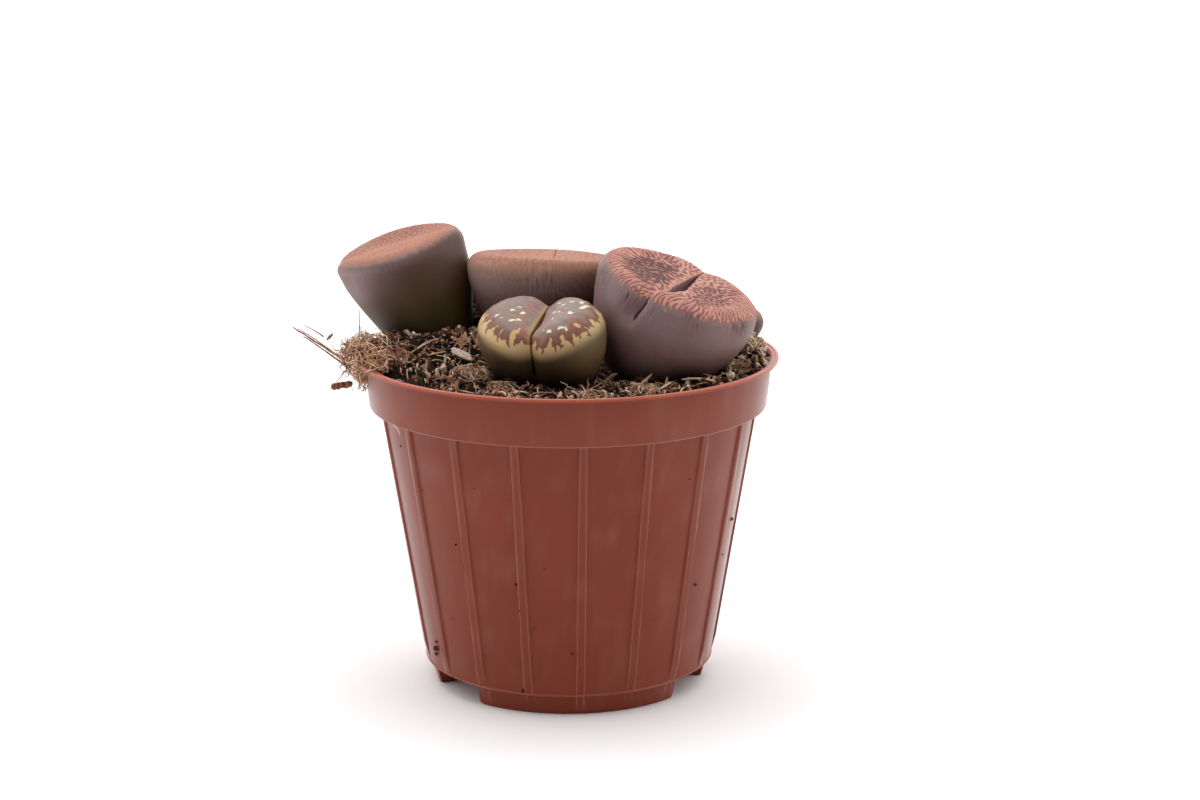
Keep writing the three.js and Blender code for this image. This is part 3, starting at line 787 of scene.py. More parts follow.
@dataclass
class FaceMap:
    """A random field over the unrolled skin: short waves with a place, a direction and a length."""

    half: float
    cell: float = 0.08

    def __post_init__(self) -> None:
        """Lays out the empty field."""
        self.count = int(2 * self.half / self.cell) + 1
        self.axis = np.linspace(-self.half, self.half, self.count)
        self.grid = np.zeros((self.count, self.count))

    def add_waves(self, places: Array, directions: Array, lengths: Array, pitches: Array,
                  phases: Array) -> None:
        """Adds short waves whose crests run along their directions.

        Args:
            places: waves x 2 middles.
            directions: waves x 2 unit vectors along the crests.
            lengths: how far each wave reaches along its crests.
            pitches: distance from crest to crest, one a wave.
            phases: one phase a wave.
        """
        for place, direction, length, pitch, phase in zip(places, directions, lengths, pitches, phases):
            width = 0.62 * pitch
            reach = int(2.2 * max(length, width) / self.cell)
            column, row = ((place + self.half) / self.cell).astype(int)
            columns = slice(max(column - reach, 0), min(column + reach, self.count))
            rows = slice(max(row - reach, 0), min(row + reach, self.count))
            if columns.start >= columns.stop or rows.start >= rows.stop:
                continue
            du = self.axis[columns][:, None] - place[0]
            dv = self.axis[rows][None, :] - place[1]
            run = du * direction[0] + dv * direction[1]
            side = -du * direction[1] + dv * direction[0]
            envelope = np.exp(-((run / length) ** 2) - (side / width) ** 2)
            self.grid[columns, rows] += envelope * np.cos(2 * math.pi * side / pitch + phase)

    def sample(self, u: Array, v: Array) -> Array:
        """Reads the field between its cells, scaled to a spread of 1.

        Args:
            u: places along the unrolled skin.
            v: places across it.

        Returns:
            The field's value at each place.
        """
        a = np.clip((u + self.half) / self.cell, 0, self.count - 1.001)
        b = np.clip((v + self.half) / self.cell, 0, self.count - 1.001)
        i = a.astype(int)
        j = b.astype(int)
        p = a - i
        q = b - j
        grid = self.grid
        value = (grid[i, j] * (1 - p) * (1 - q) + grid[i + 1, j] * p * (1 - q)
                 + grid[i, j + 1] * (1 - p) * q + grid[i + 1, j + 1] * p * q)
        return value / max(float(grid.std()), 1e-9)


@dataclass(frozen=True)
class Mark:
    """A tapered stroke on a face, from one angle and distance to another; 0 degrees is the front end."""

    angle: float
    reach: float
    end_angle: float
    end_reach: float
    wide: float
    narrow: float

    def depth(self, a: Array, b: Array) -> Array:
        """How far places lie inside the stroke.

        Args:
            a, b: coordinates on the unrolled skin.

        Returns:
            Millimetres from its edge, negative outside.
        """
        turns = [math.radians(self.angle), math.radians(self.end_angle)]
        start = np.array([-math.cos(turns[0]), math.sin(turns[0])]) * self.reach
        run = np.array([-math.cos(turns[1]), math.sin(turns[1])]) * self.end_reach - start
        t = np.clip(((a - start[0]) * run[0] + (b - start[1]) * run[1]) / max(float(run @ run), 1e-9), 0, 1)
        away = np.hypot(a - start[0] - run[0] * t, b - start[1] - run[1] * t)
        return self.wide + (self.narrow - self.wide) * t - away


def strokes(*rows: tuple[float, ...]) -> tuple[Mark, ...]:
    """Marks from rows of their numbers."""
    return tuple(Mark(*row) for row in rows)


@dataclass
class WindowMarks:
    """The windows' margin, with its teeth and bays, and the pale flecks and red dashes in them."""

    border_left: float = 7.2
    border_right: float = 7.75
    teeth: tuple[Mark, ...] = strokes(
        (-67, 7.9, -61, 6.4, 0.42, 0.2), (-52, 7.5, -44, 6.2, 0.4, 0.15), (-37, 7.0, -36, 6.2, 0.18, 0.12),
        (-22, 8.0, -16, 4.8, 0.75, 0.18), (-9, 7.6, -8, 6.7, 0.4, 0.2), (4, 8.0, 5, 6.6, 0.5, 0.2),
        (22, 8.3, 25, 6.8, 0.42, 0.2), (39, 8.4, 38, 7.0, 0.5, 0.25), (51, 8.6, 50, 7.3, 0.4, 0.15),
        (65, 7.7, 58, 6.3, 0.32, 0.22), (60, 8.6, 61, 7.8, 0.35, 0.2), (78, 8.7, 78, 7.3, 0.45, 0.3),
        (-80, 7.6, -77, 6.6, 0.4, 0.15),
    )
    bays: tuple[Mark, ...] = strokes(
        (-59, 6.8, -56, 8.1, 0.26, 0.1), (-45, 6.6, -43, 7.5, 0.24, 0.1), (-40, 6.4, -37, 7.8, 0.3, 0.1),
        (-27, 6.4, -22, 7.8, 0.4, 0.12), (-11, 5.9, -16, 7.5, 0.3, 0.12), (10, 7.0, 7, 8.0, 0.28, 0.12),
        (15, 6.8, 15, 8.4, 0.42, 0.16), (31, 6.9, 29, 8.4, 0.3, 0.12), (34, 7.0, 36, 8.2, 0.24, 0.1),
        (45, 7.1, 48, 8.7, 0.28, 0.1), (56, 7.0, 56, 8.2, 0.24, 0.1), (63, 7.2, 67, 8.8, 0.26, 0.12),
        (69, 6.8, 75, 8.1, 0.3, 0.1), (82, 7.0, 87, 8.2, 0.3, 0.12), (-72, 7.0, -71, 7.9, 0.26, 0.1),
    )
    flecks: tuple[Mark, ...] = strokes(
        (-66, 5.4, -65, 5.6, 0.16, 0.16), (-77, 3.2, -76, 3.4, 0.15, 0.15),
        (-72, 1.9, -66, 2.3, 0.18, 0.15), (-41, 4.3, -36, 3.8, 0.16, 0.13),
        (-37, 3.4, -34, 3.1, 0.18, 0.15), (-54, 5.0, -54, 5.1, 0.09, 0.09),
        (-100, 2.6, -98, 2.9, 0.13, 0.13), (150, 3.2, 146, 3.3, 0.14, 0.14),
        (122, 2.9, 121, 3.1, 0.15, 0.12), (98, 1.4, 92, 1.6, 0.16, 0.14), (84, 2.2, 83, 2.3, 0.11, 0.11),
        (74, 4.1, 75, 4.5, 0.19, 0.14), (42, 2.5, 38, 2.9, 0.13, 0.13), (39, 5.7, 42, 5.9, 0.18, 0.16),
        (46, 6.1, 46, 6.3, 0.13, 0.13), (24, 5.5, 26, 5.7, 0.2, 0.17), (92, 5.3, 99, 5.7, 0.24, 0.2),
        (101, 6.0, 104, 6.2, 0.16, 0.13), (121, 4.1, 120, 4.4, 0.15, 0.12), (17, 5.0, 17, 5.1, 0.1, 0.1),
        (110, 5.2, 112, 5.4, 0.2, 0.12),
    )
    reds: tuple[Mark, ...] = strokes(
        (-62, 1.7, -40, 2.2, 0.24, 0.14), (-18, 3.4, -14, 4.2, 0.2, 0.12), (-12, 4.6, -10, 5.3, 0.2, 0.16),
        (-124, 1.6, -140, 2.4, 0.15, 0.1), (-150, 2.6, -158, 3.4, 0.2, 0.12),
        (-56, 2.9, -50, 3.2, 0.12, 0.08), (86, 2.8, 88, 3.2, 0.12, 0.08), (-9, 5.6, -13, 6.2, 0.2, 0.14),
        (60, 5.6, 66, 6.0, 0.2, 0.12), (52, 6.3, 57, 6.6, 0.22, 0.16), (20, 2.2, 13, 3.4, 0.1, 0.06),
        (80, 6.0, 84, 6.6, 0.16, 0.1),
    )
    hidden_teeth: int = 17
    hidden_arc: tuple[float, float] = (95.0, 170.0)
    seed: int = 4

    def margin(self, a: Array, b: Array) -> Array:
        """How far places lie outside the windows.

        Args:
            a, b: coordinates on the unrolled skin.

        Returns:
            Millimetres from the windows' edge, negative inside them.
        """
        border = self.border_left + (self.border_right - self.border_left) * ease(b, -1.5, 1.5)
        outside = np.hypot(a, b) - border
        random = np.random.default_rng(self.seed)
        first, span = self.hidden_arc
        hidden = []
        for number in range(self.hidden_teeth):
            angle = first + span * (number + random.uniform(-0.3, 0.3)) / self.hidden_teeth
            end_angle = angle + random.uniform(-4, 4)
            hidden.append(Mark(angle, 8.2, end_angle, random.uniform(5.9, 7.0), 0.45, 0.15))
        for tooth in (*self.teeth, *hidden):
            outside = np.maximum(outside, tooth.depth(a, b))
        for bay in self.bays:
            outside = np.minimum(outside, -bay.depth(a, b))
        return outside

    @staticmethod
    def inside(marks: tuple[Mark, ...], a: Array, b: Array) -> Array:
        """How fully places lie inside any of the marks.

        Args:
            marks: the strokes.
            a, b: coordinates on the unrolled skin.

        Returns:
            From 0 outside to 1 inside.
        """
        deepest = np.full_like(a, -9.0)
        for mark in marks:
            deepest = np.maximum(deepest, mark.depth(a, b))
        return ease(deepest, -0.08, 0.05)


@dataclass
class LeafPair:
    """One lithops: two fused leaves with a fissure between their flat tops."""

    node: str
    base: Triple
    face: Triple
    lean: tuple[float, float]
    turn: float
    along: float
    across: float
    waist: float
    swell: float
    rim: float
    dish: tuple[float, float]
    step: float
    cleft: Cleft
    seed: int
    valley_share: float = 0.17
    pattern: Pattern = Pattern.NET
    columns: int = 150
    rows: int = 74
    side_rings: int = 34
    rim_pitch: float = 0.68
    middle_pitch: float = 1.15
    coverage_middle: float = 0.3
    coverage_rim: float = 0.66
    wash: float = 0.0
    wash_reach: float = 1.0
    radial: float = 1.0
    smooth_lobe: float = 0.0
    # The olive and brown tints are partly the skin's own colour and partly painted shade, set round one
    # place on the pair's side, where it lies in shade.
    olive: float = 0.0
    olive_shade_at: float = 0.0
    olive_shade_top: float = 0.85
    olive_shade_reach: float = 7.0
    brown: float = 0.0
    # The height, as a share, where the painted shade towards the mix begins.
    shade_from: float = 0.6
    wrinkles: float = 0.05
    soft_edge: float = 0.0
    net_height: float = 0.1
    edge_shift: Triple = (0.0, 0.0, 0.0)
    hollow_from: float = 0.2
    hollow_place: Triple = (0.0, 0.5, 1.0)
    narrowed: float = 1.0

    FLAT_DISC = 0.72
    SLOT_STEPS = 7
    ROOT_DEPTH = 5.0
    ROOT_TAPER = 1.3
    ROOT_SHARES = (-0.1, -0.24)
    CORE_DEPTH = 0.8
    FULL_GAP_SHARE = 0.08
    LEAST_GAP = 0.05

    @property
    def height(self) -> float:
        """Distance from the neck to the middle of the face."""
        return math.dist(self.base, self.face)

    @property
    def rim_share(self) -> float:
        """The rounded rim's part of the height."""
        return self.rim / self.height

    @property
    def mean_radius(self) -> float:
        """Half of the face's mean width."""
        return (self.along + self.across) / 2

    @property
    def grid(self) -> Array:
        """Numbers of the face's points, columns x rows, with the rows inside the fissure."""
        rows = 2 * (self.rows + 1) + 2 * self.SLOT_STEPS - 1
        return np.arange((self.columns + 1) * rows).reshape(self.columns + 1, rows)

    def place(self, u: Array, v: Array, share: Array) -> Array:
        """Sets places of the leaf pair in space.

        Args:
            u: distance along the fissure's direction.
            v: distance across it.
            share: height, 0 at the mix and 1 at the face.

        Returns:
            places x 3 coordinates.
        """
        v = np.where(v > 0, v * self.narrowed, v)
        tilt = np.clip(share, 0, 1)
        right = math.tan(math.radians(self.lean[0])) * tilt
        front = math.tan(math.radians(self.lean[1])) * tilt
        normal = unit(np.stack([right, -front, np.ones_like(tilt)], axis=-1))
        turn = math.radians(self.turn)
        heading = np.array([math.sin(turn), math.cos(turn), 0.0])
        along = unit(heading - normal * (normal @ heading)[..., None])
        across = np.cross(along, normal)
        base = np.array(self.base)
        centre = base + (np.array(self.face) - base) * tilt[..., None]
        centre = centre + normal * ((share - tilt) * self.height)[..., None]
        return centre + along * u[..., None] + across * v[..., None]

    def body_width(self, share: Array) -> Array:
        """Width of the body at a height, as a part of its widest ring.

        Args:
            share: the height, 0 at the mix and 1 at the face.

        Returns:
            The width at each.
        """
        down = np.clip(1 - share / (1 - self.rim_share), 0, 1)
        above = 1 - (1 - self.waist) * down ** self.swell
        return np.where(share < 0, self.waist * (1 + share * self.ROOT_TAPER), above)

    def valley_at(self, u: Array, v: Array, right: Array | float = 0.0) -> Array:
        """Depth of the soft valley beside the fissure.

        Args:
            u: places along the face.
            v: places across it.
            right: 1 for places on the right lobe, whose lip may stand up beside the opening.

        Returns:
            The depth at each.
        """
        front = ease(-u / self.along, 0.2, 0.85)
        width = self.valley_share * self.across + 0.4
        width = width + (np.where(v < 0, *self.cleft.flanks) - width) * front * (self.cleft.front_rise > 1)
        depth = self.cleft.valley * (1 + (self.cleft.front_rise - 1) * front)
        start, full, fall, end = self.cleft.lip_span
        lifted = ease(u, start, full) * ease(u, end, fall)
        depth = depth * (1 - self.cleft.lip_lift * lifted * right)
        return depth * np.exp(-((np.abs(v) / width) ** 1.3))

    def lobe_middle(self, u: Array, v: Array) -> Array:
        """How near a place is to the middle of either lobe, from 0 to 1."""
        half = self.across / 2
        return np.exp(-2 * ((u / self.along) ** 2 + ((np.abs(v) - half) / half) ** 2))

    def slot_depth_share(self, u: Array, z: Array) -> Array:
        """How far a place on the fissure's line moves towards the body's core to reach its floor.

        Args:
            u: places along the fissure.
            z: their heights above the face.

        Returns:
            The share of the way to the core, from 0 to 1.
        """
        ends = np.where(u < 0, self.cleft.front, self.cleft.back) + self.rim
        core = -self.CORE_DEPTH * self.height
        low = np.zeros_like(u)
        high = np.ones_like(u)
        for _ in range(24):
            middle = (low + high) / 2
            at_u = u * (1 - middle)
            at_z = z + (core - z) * middle
            floor = -self.cleft.depth - (ends - self.cleft.depth) * (at_u / self.along) ** 2
            above = at_z > floor
            low = np.where(above, middle, low)
            high = np.where(above, high, middle)
        return low

    def row_layout(self) -> tuple[Array, Array, Array, Array]:
        """The rows across the face: left lobe, fissure and right lobe.

        Returns:
            For each row its place on the square, its sideways pull at the fissure's edge, its pull
            with the fissure's middle line, and its depth into the fissure.
        """
        lobe = np.linspace(0, 1, self.rows + 1) ** 1.12
        steps = math.pi * np.arange(1, 2 * self.SLOT_STEPS) / (2 * self.SLOT_STEPS)
        slot = math.pi * (0.5 - 0.5 * np.cos(steps))
        fall = 1 - ease(lobe, 0.0, 0.9)
        square = np.concatenate([-lobe[::-1], np.zeros(len(slot)), lobe])
        sideways = np.concatenate([-fall[::-1], -np.cos(slot), fall])
        middle = np.concatenate([fall[::-1], np.ones(len(slot)), fall])
        deep = np.concatenate([np.zeros(len(lobe)), np.sin(slot), np.zeros(len(lobe))])
        return square, sideways, middle, deep

    def sink(self, u: Array, z: Array, deep: Array, share: Array) -> tuple[Array, Array]:
        """Moves the fissure's rows down to its floor.

        Args:
            u: places along the face.
            z: heights above the face.
            deep: each row's depth into the fissure, from 0 to 1.
            share: the share of the way to the core at the fissure's floor.

        Returns:
            The new u and z.
        """
        move = deep * share
        return u * (1 - move), z - (self.CORE_DEPTH * self.height + z) * move

    def slot_gap(self, u: Array, share: Array) -> Array:
        """Half the fissure's width where its floor lies a share of the way to the core."""
        opened = np.clip(share / self.FULL_GAP_SHARE, 0, 1)
        return self.cleft.half_gap(u, self.along) * opened + self.LEAST_GAP

    def face_skin(self) -> Skin:
        """The face and its rounded rim, as a grid of columns and rows.

        Returns:
            The places of the grid.
        """
        square, sideways, middle, deep = self.row_layout()
        across_square = np.linspace(-1, 1, self.columns + 1)[:, None]
        x = across_square * np.sqrt(1 - square[None] ** 2 / 2)
        y = square[None] * np.sqrt(1 - across_square ** 2 / 2)
        radius = np.hypot(x, y)
        inner = 1 - self.rim / self.mean_radius
        over = np.clip((radius - self.FLAT_DISC) / (1 - self.FLAT_DISC), 0, 1) * math.pi / 2
        width = np.where(over > 0, inner + (1 - inner) * np.sin(over), radius / self.FLAT_DISC * inner)
        drop = self.rim * (1 - np.cos(over))
        scale = width / np.maximum(radius, 1e-9)
        u = self.along * x * scale
        v = self.across * y * scale
        valley = self.valley_at(u, v, np.arange(len(square)) > self.rows + self.SLOT_STEPS)
        second = 0.5 + 0.5 * np.tanh(v / 0.8)
        dish = self.dish[0] + (self.dish[1] - self.dish[0]) * second
        z = np.tanh(v / 1.2) * self.step - dish * self.lobe_middle(u, v) - drop
        z = z - valley * np.cos(over)
        end_on = (np.abs(x) / np.maximum(radius, 1e-9)) ** 4
        u = u * (1 - valley * end_on * np.sin(over) / self.along)
        share = self.slot_depth_share(u, z)
        gap = self.slot_gap(u, share)
        course = self.cleft.course(u, self.along)
        v = v + sideways[None] * gap + middle[None] * course
        u, z = self.sink(u, z, deep[None], share)
        zero = np.zeros_like(u)
        slot = deep[None] * np.clip(share * 6, 0, 1)
        wall = zero + np.where(deep[None] > 0, sideways[None], 0)
        return Skin(u, v, 1 + z / self.height, x, y, over, zero, zero + slot, wall)

    def edge_order(self) -> Array:
        """Grid numbers of the face's edge, once round."""
        grid = self.grid
        return np.concatenate([grid[0, :-1], grid[:-1, -1], grid[-1, :0:-1], grid[:0:-1, 0]])

    def side_shares(self) -> Array:
        """Heights of the side's rings, closer together below the rim, and those of the root."""
        step = np.linspace(0, 1, self.side_rings + 1)[1:] ** 1.15
        return np.concatenate([(1 - self.rim_share) * (1 - step), self.ROOT_SHARES])

    def side_skin(self, top: Skin, order: Array) -> Skin:
        """Rings from the rim down the side to the root.

        Args:
            top: the face, which gives the rim.
            order: the face's edge.

        Returns:
            The rings, one row of places each.
        """
        _, sideways, middle, deep = self.row_layout()
        rows = len(deep)
        row = order % rows
        x = top.x.ravel()[order][None]
        y = top.y.ravel()[order][None]
        at_end = np.isin(order // rows, (0, self.columns))[None]
        sideways = np.where(at_end, sideways[row][None], 0)
        middle = np.where(at_end, middle[row][None], 0)
        deep = np.where(at_end, deep[row][None], 0)
        share = self.side_shares()[:, None] + 0 * x
        width = self.body_width(share)
        below = (1 - share) * self.height
        reach = np.where(x < 0, self.cleft.front, self.cleft.back) + self.rim + 1.5
        fade = ease(reach - below, 0, 3)
        pull = self.valley_at(x * self.along, y * self.across) * fade * np.abs(x) ** 4
        u = self.along * x * width * (1 - pull / self.along)
        down = (1 - self.rim_share - share) * self.height
        z = np.tanh(self.across * y / 1.2) * self.step * ease(down, 6.0, 0.0) - below
        core_share = self.slot_depth_share(u, z)
        gap = self.slot_gap(u, core_share)
        course = self.cleft.course(u, self.along) * ease(share, -0.1, 0.4)
        course = course + self.cleft.side_shift * np.clip(down, 0, 1.8)
        v = self.across * y * width + sideways * gap + middle * course
        u, z = self.sink(u, z, deep, core_share)
        over = np.full_like(u, math.pi / 2)
        slot = deep * np.clip(core_share * 6, 0, 1)
        wall = np.where(deep > 0, sideways, 0) + 0 * u
        return Skin(u, v, 1 + z / self.height, x + 0 * u, y + 0 * u, over, down, slot, wall)

    def unrolled(self, skin: Skin) -> tuple[Array, Array]:
        """Lays the skin flat, so that distances from the middle are true.

        Args:
            skin: places on the skin.

        Returns:
            Their two coordinates on the flat.
        """
        radius = np.maximum(np.hypot(skin.x, skin.y), 1e-9)
        inner = 1 - self.rim / self.mean_radius
        flat = np.minimum(radius / self.FLAT_DISC, 1) * inner
        rho = flat + (self.rim * skin.over + skin.down) / self.mean_radius
        return self.along * skin.x / radius * rho, self.across * skin.y / radius * rho

    def net_field(self, a: Array, b: Array) -> Array:
        """The raised net's field: free in the middle of a lobe, running outwards near the rim.

        Args:
            a, b: coordinates on the unrolled skin.

        Returns:
            A value for each place, with a spread of 1.
        """
        random = np.random.default_rng(self.seed)
        half = max(self.along, self.across) + self.rim + 3
        field_map = FaceMap(half)
        count = int(3.4 * (2 * half) ** 2 / self.rim_pitch ** 2)
        places = random.uniform(-half, half, (count, 2))
        ring = np.hypot(places[:, 0] / self.along, places[:, 1] / self.across)
        outward = unit(places / np.array([self.along ** 2, self.across ** 2]))
        turn = random.uniform(0, 2 * math.pi, count)
        free = np.stack([np.cos(turn), np.sin(turn)], axis=-1)
        sway = random.normal(0, 0.24, count)
        swayed = np.stack([outward[:, 0] * np.cos(sway) - outward[:, 1] * np.sin(sway),
                           outward[:, 0] * np.sin(sway) + outward[:, 1] * np.cos(sway)], axis=-1)
        pull = ease(ring, 0.5, 0.8)[:, None] * self.radial
        directions = unit(free * (1 - pull) + swayed * pull * 1.6 + 1e-6)
        pitches = self.middle_pitch + (self.rim_pitch - self.middle_pitch) * pull[:, 0]
        lengths = pitches * (0.36 + 0.5 * pull[:, 0])
        phases = random.uniform(0, 2 * math.pi, count)
        field_map.add_waves(places, directions, lengths, pitches, phases)
        return field_map.sample(a, b)

    def net_masks(self, skin: Skin) -> tuple[dict[str, Array], Array]:
        """Colour masks and relief of a netted face.

        Args:
            skin: places on the skin.

        Returns:
            The masks by name, and the height that the net adds in millimetres.
        """
        a, b = self.unrolled(skin)
        net = self.net_field(a, b)
        places = np.stack([a, b], axis=-1)
        hollow_a, hollow_b, right_share = self.hollow_place
        run = (a - hollow_a) / (0.9 * self.along)
        off = (np.abs(b) / self.across - hollow_b) / 0.42
        depth = np.exp(-2 * (run ** 2 + off ** 2)) + 0.1 * ripples(places, 3.0, self.seed + 17)
        hollow = ease(depth, self.hollow_from, self.hollow_from + 0.6)
        hollow = hollow * np.where(b > 0, right_share, 1.0)
        hollow = hollow * (skin.over < 0.2)
        shift, shift_a, shift_b = self.edge_shift
        out = skin.over + skin.down / self.rim
        out = out + (shift + shift_a * a / self.along + shift_b * b / self.across) * (out > 0)
        ragged = out + 0.09 * ripples(places, 1.3, self.seed + 3)
        near = self.smooth_lobe * ease(b - self.cleft.course(a, self.along), 0.0, 0.25)
        ragged = ragged + near * (0.5 + 0.7 * (out - ragged))
        on_face = 1 - ease(ragged, 0.72, 1.12 + self.soft_edge)
        coverage = self.coverage_rim + (self.coverage_middle - self.coverage_rim) * hollow
        coverage = coverage + 0.07 * ripples(places, 4.5, self.seed + 4)
        level = (0.5 - coverage) * 2.5 + 1.5 * ease(ragged, 0.5, 1.05)
        stroke = ease(net - level, -0.75, 0.65) * (1 - ease(ragged, 0.8, 1.15 + self.soft_edge))
        raised = ease(net - level, -0.9, 0.9) * on_face * (1 - ease(skin.slot, 0, 0.2))
        near_lip = np.exp(-((np.abs(b) / 0.32) ** 2)) * (skin.over < 1.0) * (skin.down <= 0)
        wrinkle = self.wrinkle_field(a, b, skin)
        beyond = np.maximum(skin.over - 0.6, 0) * self.rim + skin.down
        streaks = 1 + 0.25 * ripples(places, 0.7, self.seed + 13)
        dashes = ripples(places * [1.0, 0.4], 0.75, self.seed + 15, 50)
        stroke = stroke + (1 - stroke) * near * (1 - ease(ragged, 0.6, 1.1 + self.soft_edge))
        masks = {
            "face": on_face * (1 - 0.8 * ease(ragged, 0.6, 1.0)),
            "dash": near * ease(dashes, 0.3, 1.5) * (1 - ease(ragged, 0.75, 1.0)),
            "hollow": hollow * on_face * (1 - near),
            "wash": self.wash * (1 - ease(beyond * streaks, 0.0, self.wash_reach)),
            "tan": stroke * (1 - skin.slot),
            "lip": near_lip,
            # Painted shade in the troughs of the wrinkles below the rim.
            "groove": ease(-wrinkle, 0.6, 1.8) * (1 - on_face),
            "wall": ease(skin.slot, 0.0, 0.08),
        }
        raised = raised * (1 - 0.7 * near)
        relief = self.net_height * (raised - 0.5 * on_face) + self.wrinkles * wrinkle
        return masks, relief

    def wrinkle_field(self, a: Array, b: Array, skin: Skin) -> Array:
        """Fine upright wrinkles just below the rim.

        Args:
            a, b: coordinates on the unrolled skin.
            skin: places on the skin.

        Returns:
            A value for each place: 0 away from the rim, down to about -2 in a wrinkle.
        """
        angle = np.arctan2(b / self.across, a / self.along)
        ring = angle * self.mean_radius
        lines = np.stack([ring, 0.12 * (skin.down + skin.over * self.rim)], axis=-1)
        fine = ripples(lines, 0.42, self.seed + 8, 40)
        patch = 0.5 + 0.5 * ripples(np.stack([ring, 0 * ring], axis=-1), 5.0, self.seed + 9)
        below = ease(skin.over, 0.7, 1.3) * (1 - ease(skin.down, 0.3, 3.2))
        return fine * np.clip(patch, 0, 1.4) * below

    def window_masks(self, skin: Skin) -> tuple[dict[str, Array], Array]:
        """Colour masks and relief of a face with windows and a toothed margin.

        Args:
            skin: places on the skin.

        Returns:
            The masks by name, and the height that the pattern adds in millimetres.
        """
        a, b = self.unrolled(skin)
        places = np.stack([a, b], axis=-1)
        marks = WindowMarks()
        bent_a = a + 0.07 * ripples(places, 0.9, self.seed + 1)
        bent_b = b + 0.07 * ripples(places, 0.9, self.seed + 2)
        margin = marks.margin(bent_a, bent_b)
        window = ease(margin, 0.05, -0.07)
        rho = np.hypot(a, b)
        cream = (1 - window) * (1 - ease(rho, marks.border_left + 0.6, marks.border_left + 2.8))
        dashes = ripples(places * [0.8, 1.4], 0.9, self.seed + 5, 50)
        near_cleft = np.exp(-((np.abs(b) - 1.1) / 1.0) ** 2)
        red = ease(dashes + 0.5 * near_cleft, 1.3, 2.2) * 0.55
        inner_wall = (skin.wall < -0.05) & (skin.slot < 0.75) & (skin.down <= 0.5)
        off = b - self.cleft.offset
        edge_left = np.exp(-((off / 0.3) ** 2)) * (off < 0) * (skin.over < 1.4)
        edge_right = np.exp(-((off / 0.16) ** 2)) * (off >= 0)
        masks = {
            "window": window * (1 - skin.slot),
            "stain": window * ease(margin, -1.1, -0.15) * ease(rho, 5.2, 6.6),
            "cream": cream,
            "pinkish": window * (b > 0) * ease(rho, 6.0, 2.0),
            "fleck": marks.inside(marks.flecks, bent_a, bent_b) * window,
            "red": np.maximum(red, marks.inside(marks.reds, bent_a, bent_b)) * window,
            "lip": np.maximum(np.maximum(edge_left, inner_wall), 0.5 * edge_right * (skin.over < 1.2)),
            "face": window,
        }
        relief = 0.04 * (1 - window) * cream + 0.02 * ripples(places, 1.3, self.seed + 6) * (skin.down <= 0)
        return masks, relief

    def masks_and_relief(self, skin: Skin) -> tuple[dict[str, Array], Array]:
        """The masks for this pair's finish, and its relief.

        Args:
            skin: places on the skin.

        Returns:
            The masks by name, and the height in millimetres.
        """
        if self.pattern is Pattern.WINDOWS:
            masks, relief = self.window_masks(skin)
        else:
            masks, relief = self.net_masks(skin)
        points = self.place(skin.u, skin.v, skin.share)
        slow = ripples(points, 7.0, self.seed + 11)
        side = ease(skin.over, 0.9, 1.5)
        # The brown and olive tints lie round one place on the pair's side. They are partly the skin's own
        # colour and partly painted shade on a side in shade.
        middle = np.exp(-(((points[:, 0] - self.olive_shade_at) / self.olive_shade_reach) ** 4))
        masks["brown"] = ease(skin.over, 0.3, 1.2) * self.brown * middle
        olive = ease(skin.share + 0.05 * slow, self.olive_shade_top, 0.45)
        masks["olive"] = side * self.olive * middle * olive
        masks["mauve"] = side * ease(skin.share + 0.1 * slow, 0.45, 1.0) * (1 - masks["olive"])
        # Painted shade: the skin darkens towards the mix.
        masks["low"] = ease(skin.share + 0.04 * slow, self.shade_from, 0.0) ** 1.4
        # Painted shade deep inside the fissure.
        masks["deep"] = ease(skin.slot, 0.3, 0.95)
        return masks, relief

    def build(self) -> Piece:
        """Builds the leaf pair, with its relief, as one closed skin.

        Returns:
            The piece.
        """
        top = self.face_skin()
        order = self.edge_order()
        sides = self.side_skin(top, order)
        skin = Skin.joined([top, sides])
        points = self.place(skin.u, skin.v, skin.share)
        grid = self.grid
        face = np.stack([grid[:-1, :-1], grid[:-1, 1:], grid[1:, 1:], grid[1:, :-1]], axis=-1).reshape(-1, 4)
        rings = np.concatenate([order[None], grid.size + np.arange(sides.u.size).reshape(-1, len(order))])
        faces = [face, ring_walls(rings), fan(len(points), rings[-1], flipped=True)]
        end = self.place(np.zeros(1), np.zeros(1), np.array([-self.ROOT_DEPTH / self.height]))
        masks, relief = self.masks_and_relief(skin)
        masks = {name: np.append(values, values[-1]) for name, values in masks.items()}
        shape = Shape(np.concatenate([points, end]), faces, masks)
        shape.points = shape.points + shape.normals() * np.append(relief, 0)[:, None]
        finishes = {Pattern.NET: NETTED_SKIN, Pattern.SHADED_NET: BROWN_SKIN, Pattern.WINDOWS: GREEN_SKIN}
        made = shape.to_object(self.node + "_skin", finishes[self.pattern].material())
        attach(made, BODY)
        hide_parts(self.node)
        return made

    def holds(self, points: Array, margin: float = 0.0) -> Array:
        """Whether places lie inside the leaf pair.

        Args:
            points: places x 3 coordinates.
            margin: how far outside still counts.

        Returns:
            True for each place inside.
        """
        base = np.array(self.base)
        rise = np.array(self.face) - base
        share = (points - base) @ rise / (rise @ rise)
        zero = np.zeros_like(share)
        centre = self.place(zero, zero, share)
        turn = math.radians(self.turn)
        away = points - centre
        u = away @ np.array([math.sin(turn), math.cos(turn), 0.0])
        v = away @ np.array([math.cos(turn), -math.sin(turn), 0.0])
        width = self.body_width(np.clip(share, -0.3, 1))
        ring = np.hypot(u / (self.along * width + margin), v / (self.across * width + margin))
        return (ring < 1) & (share < 1.05)


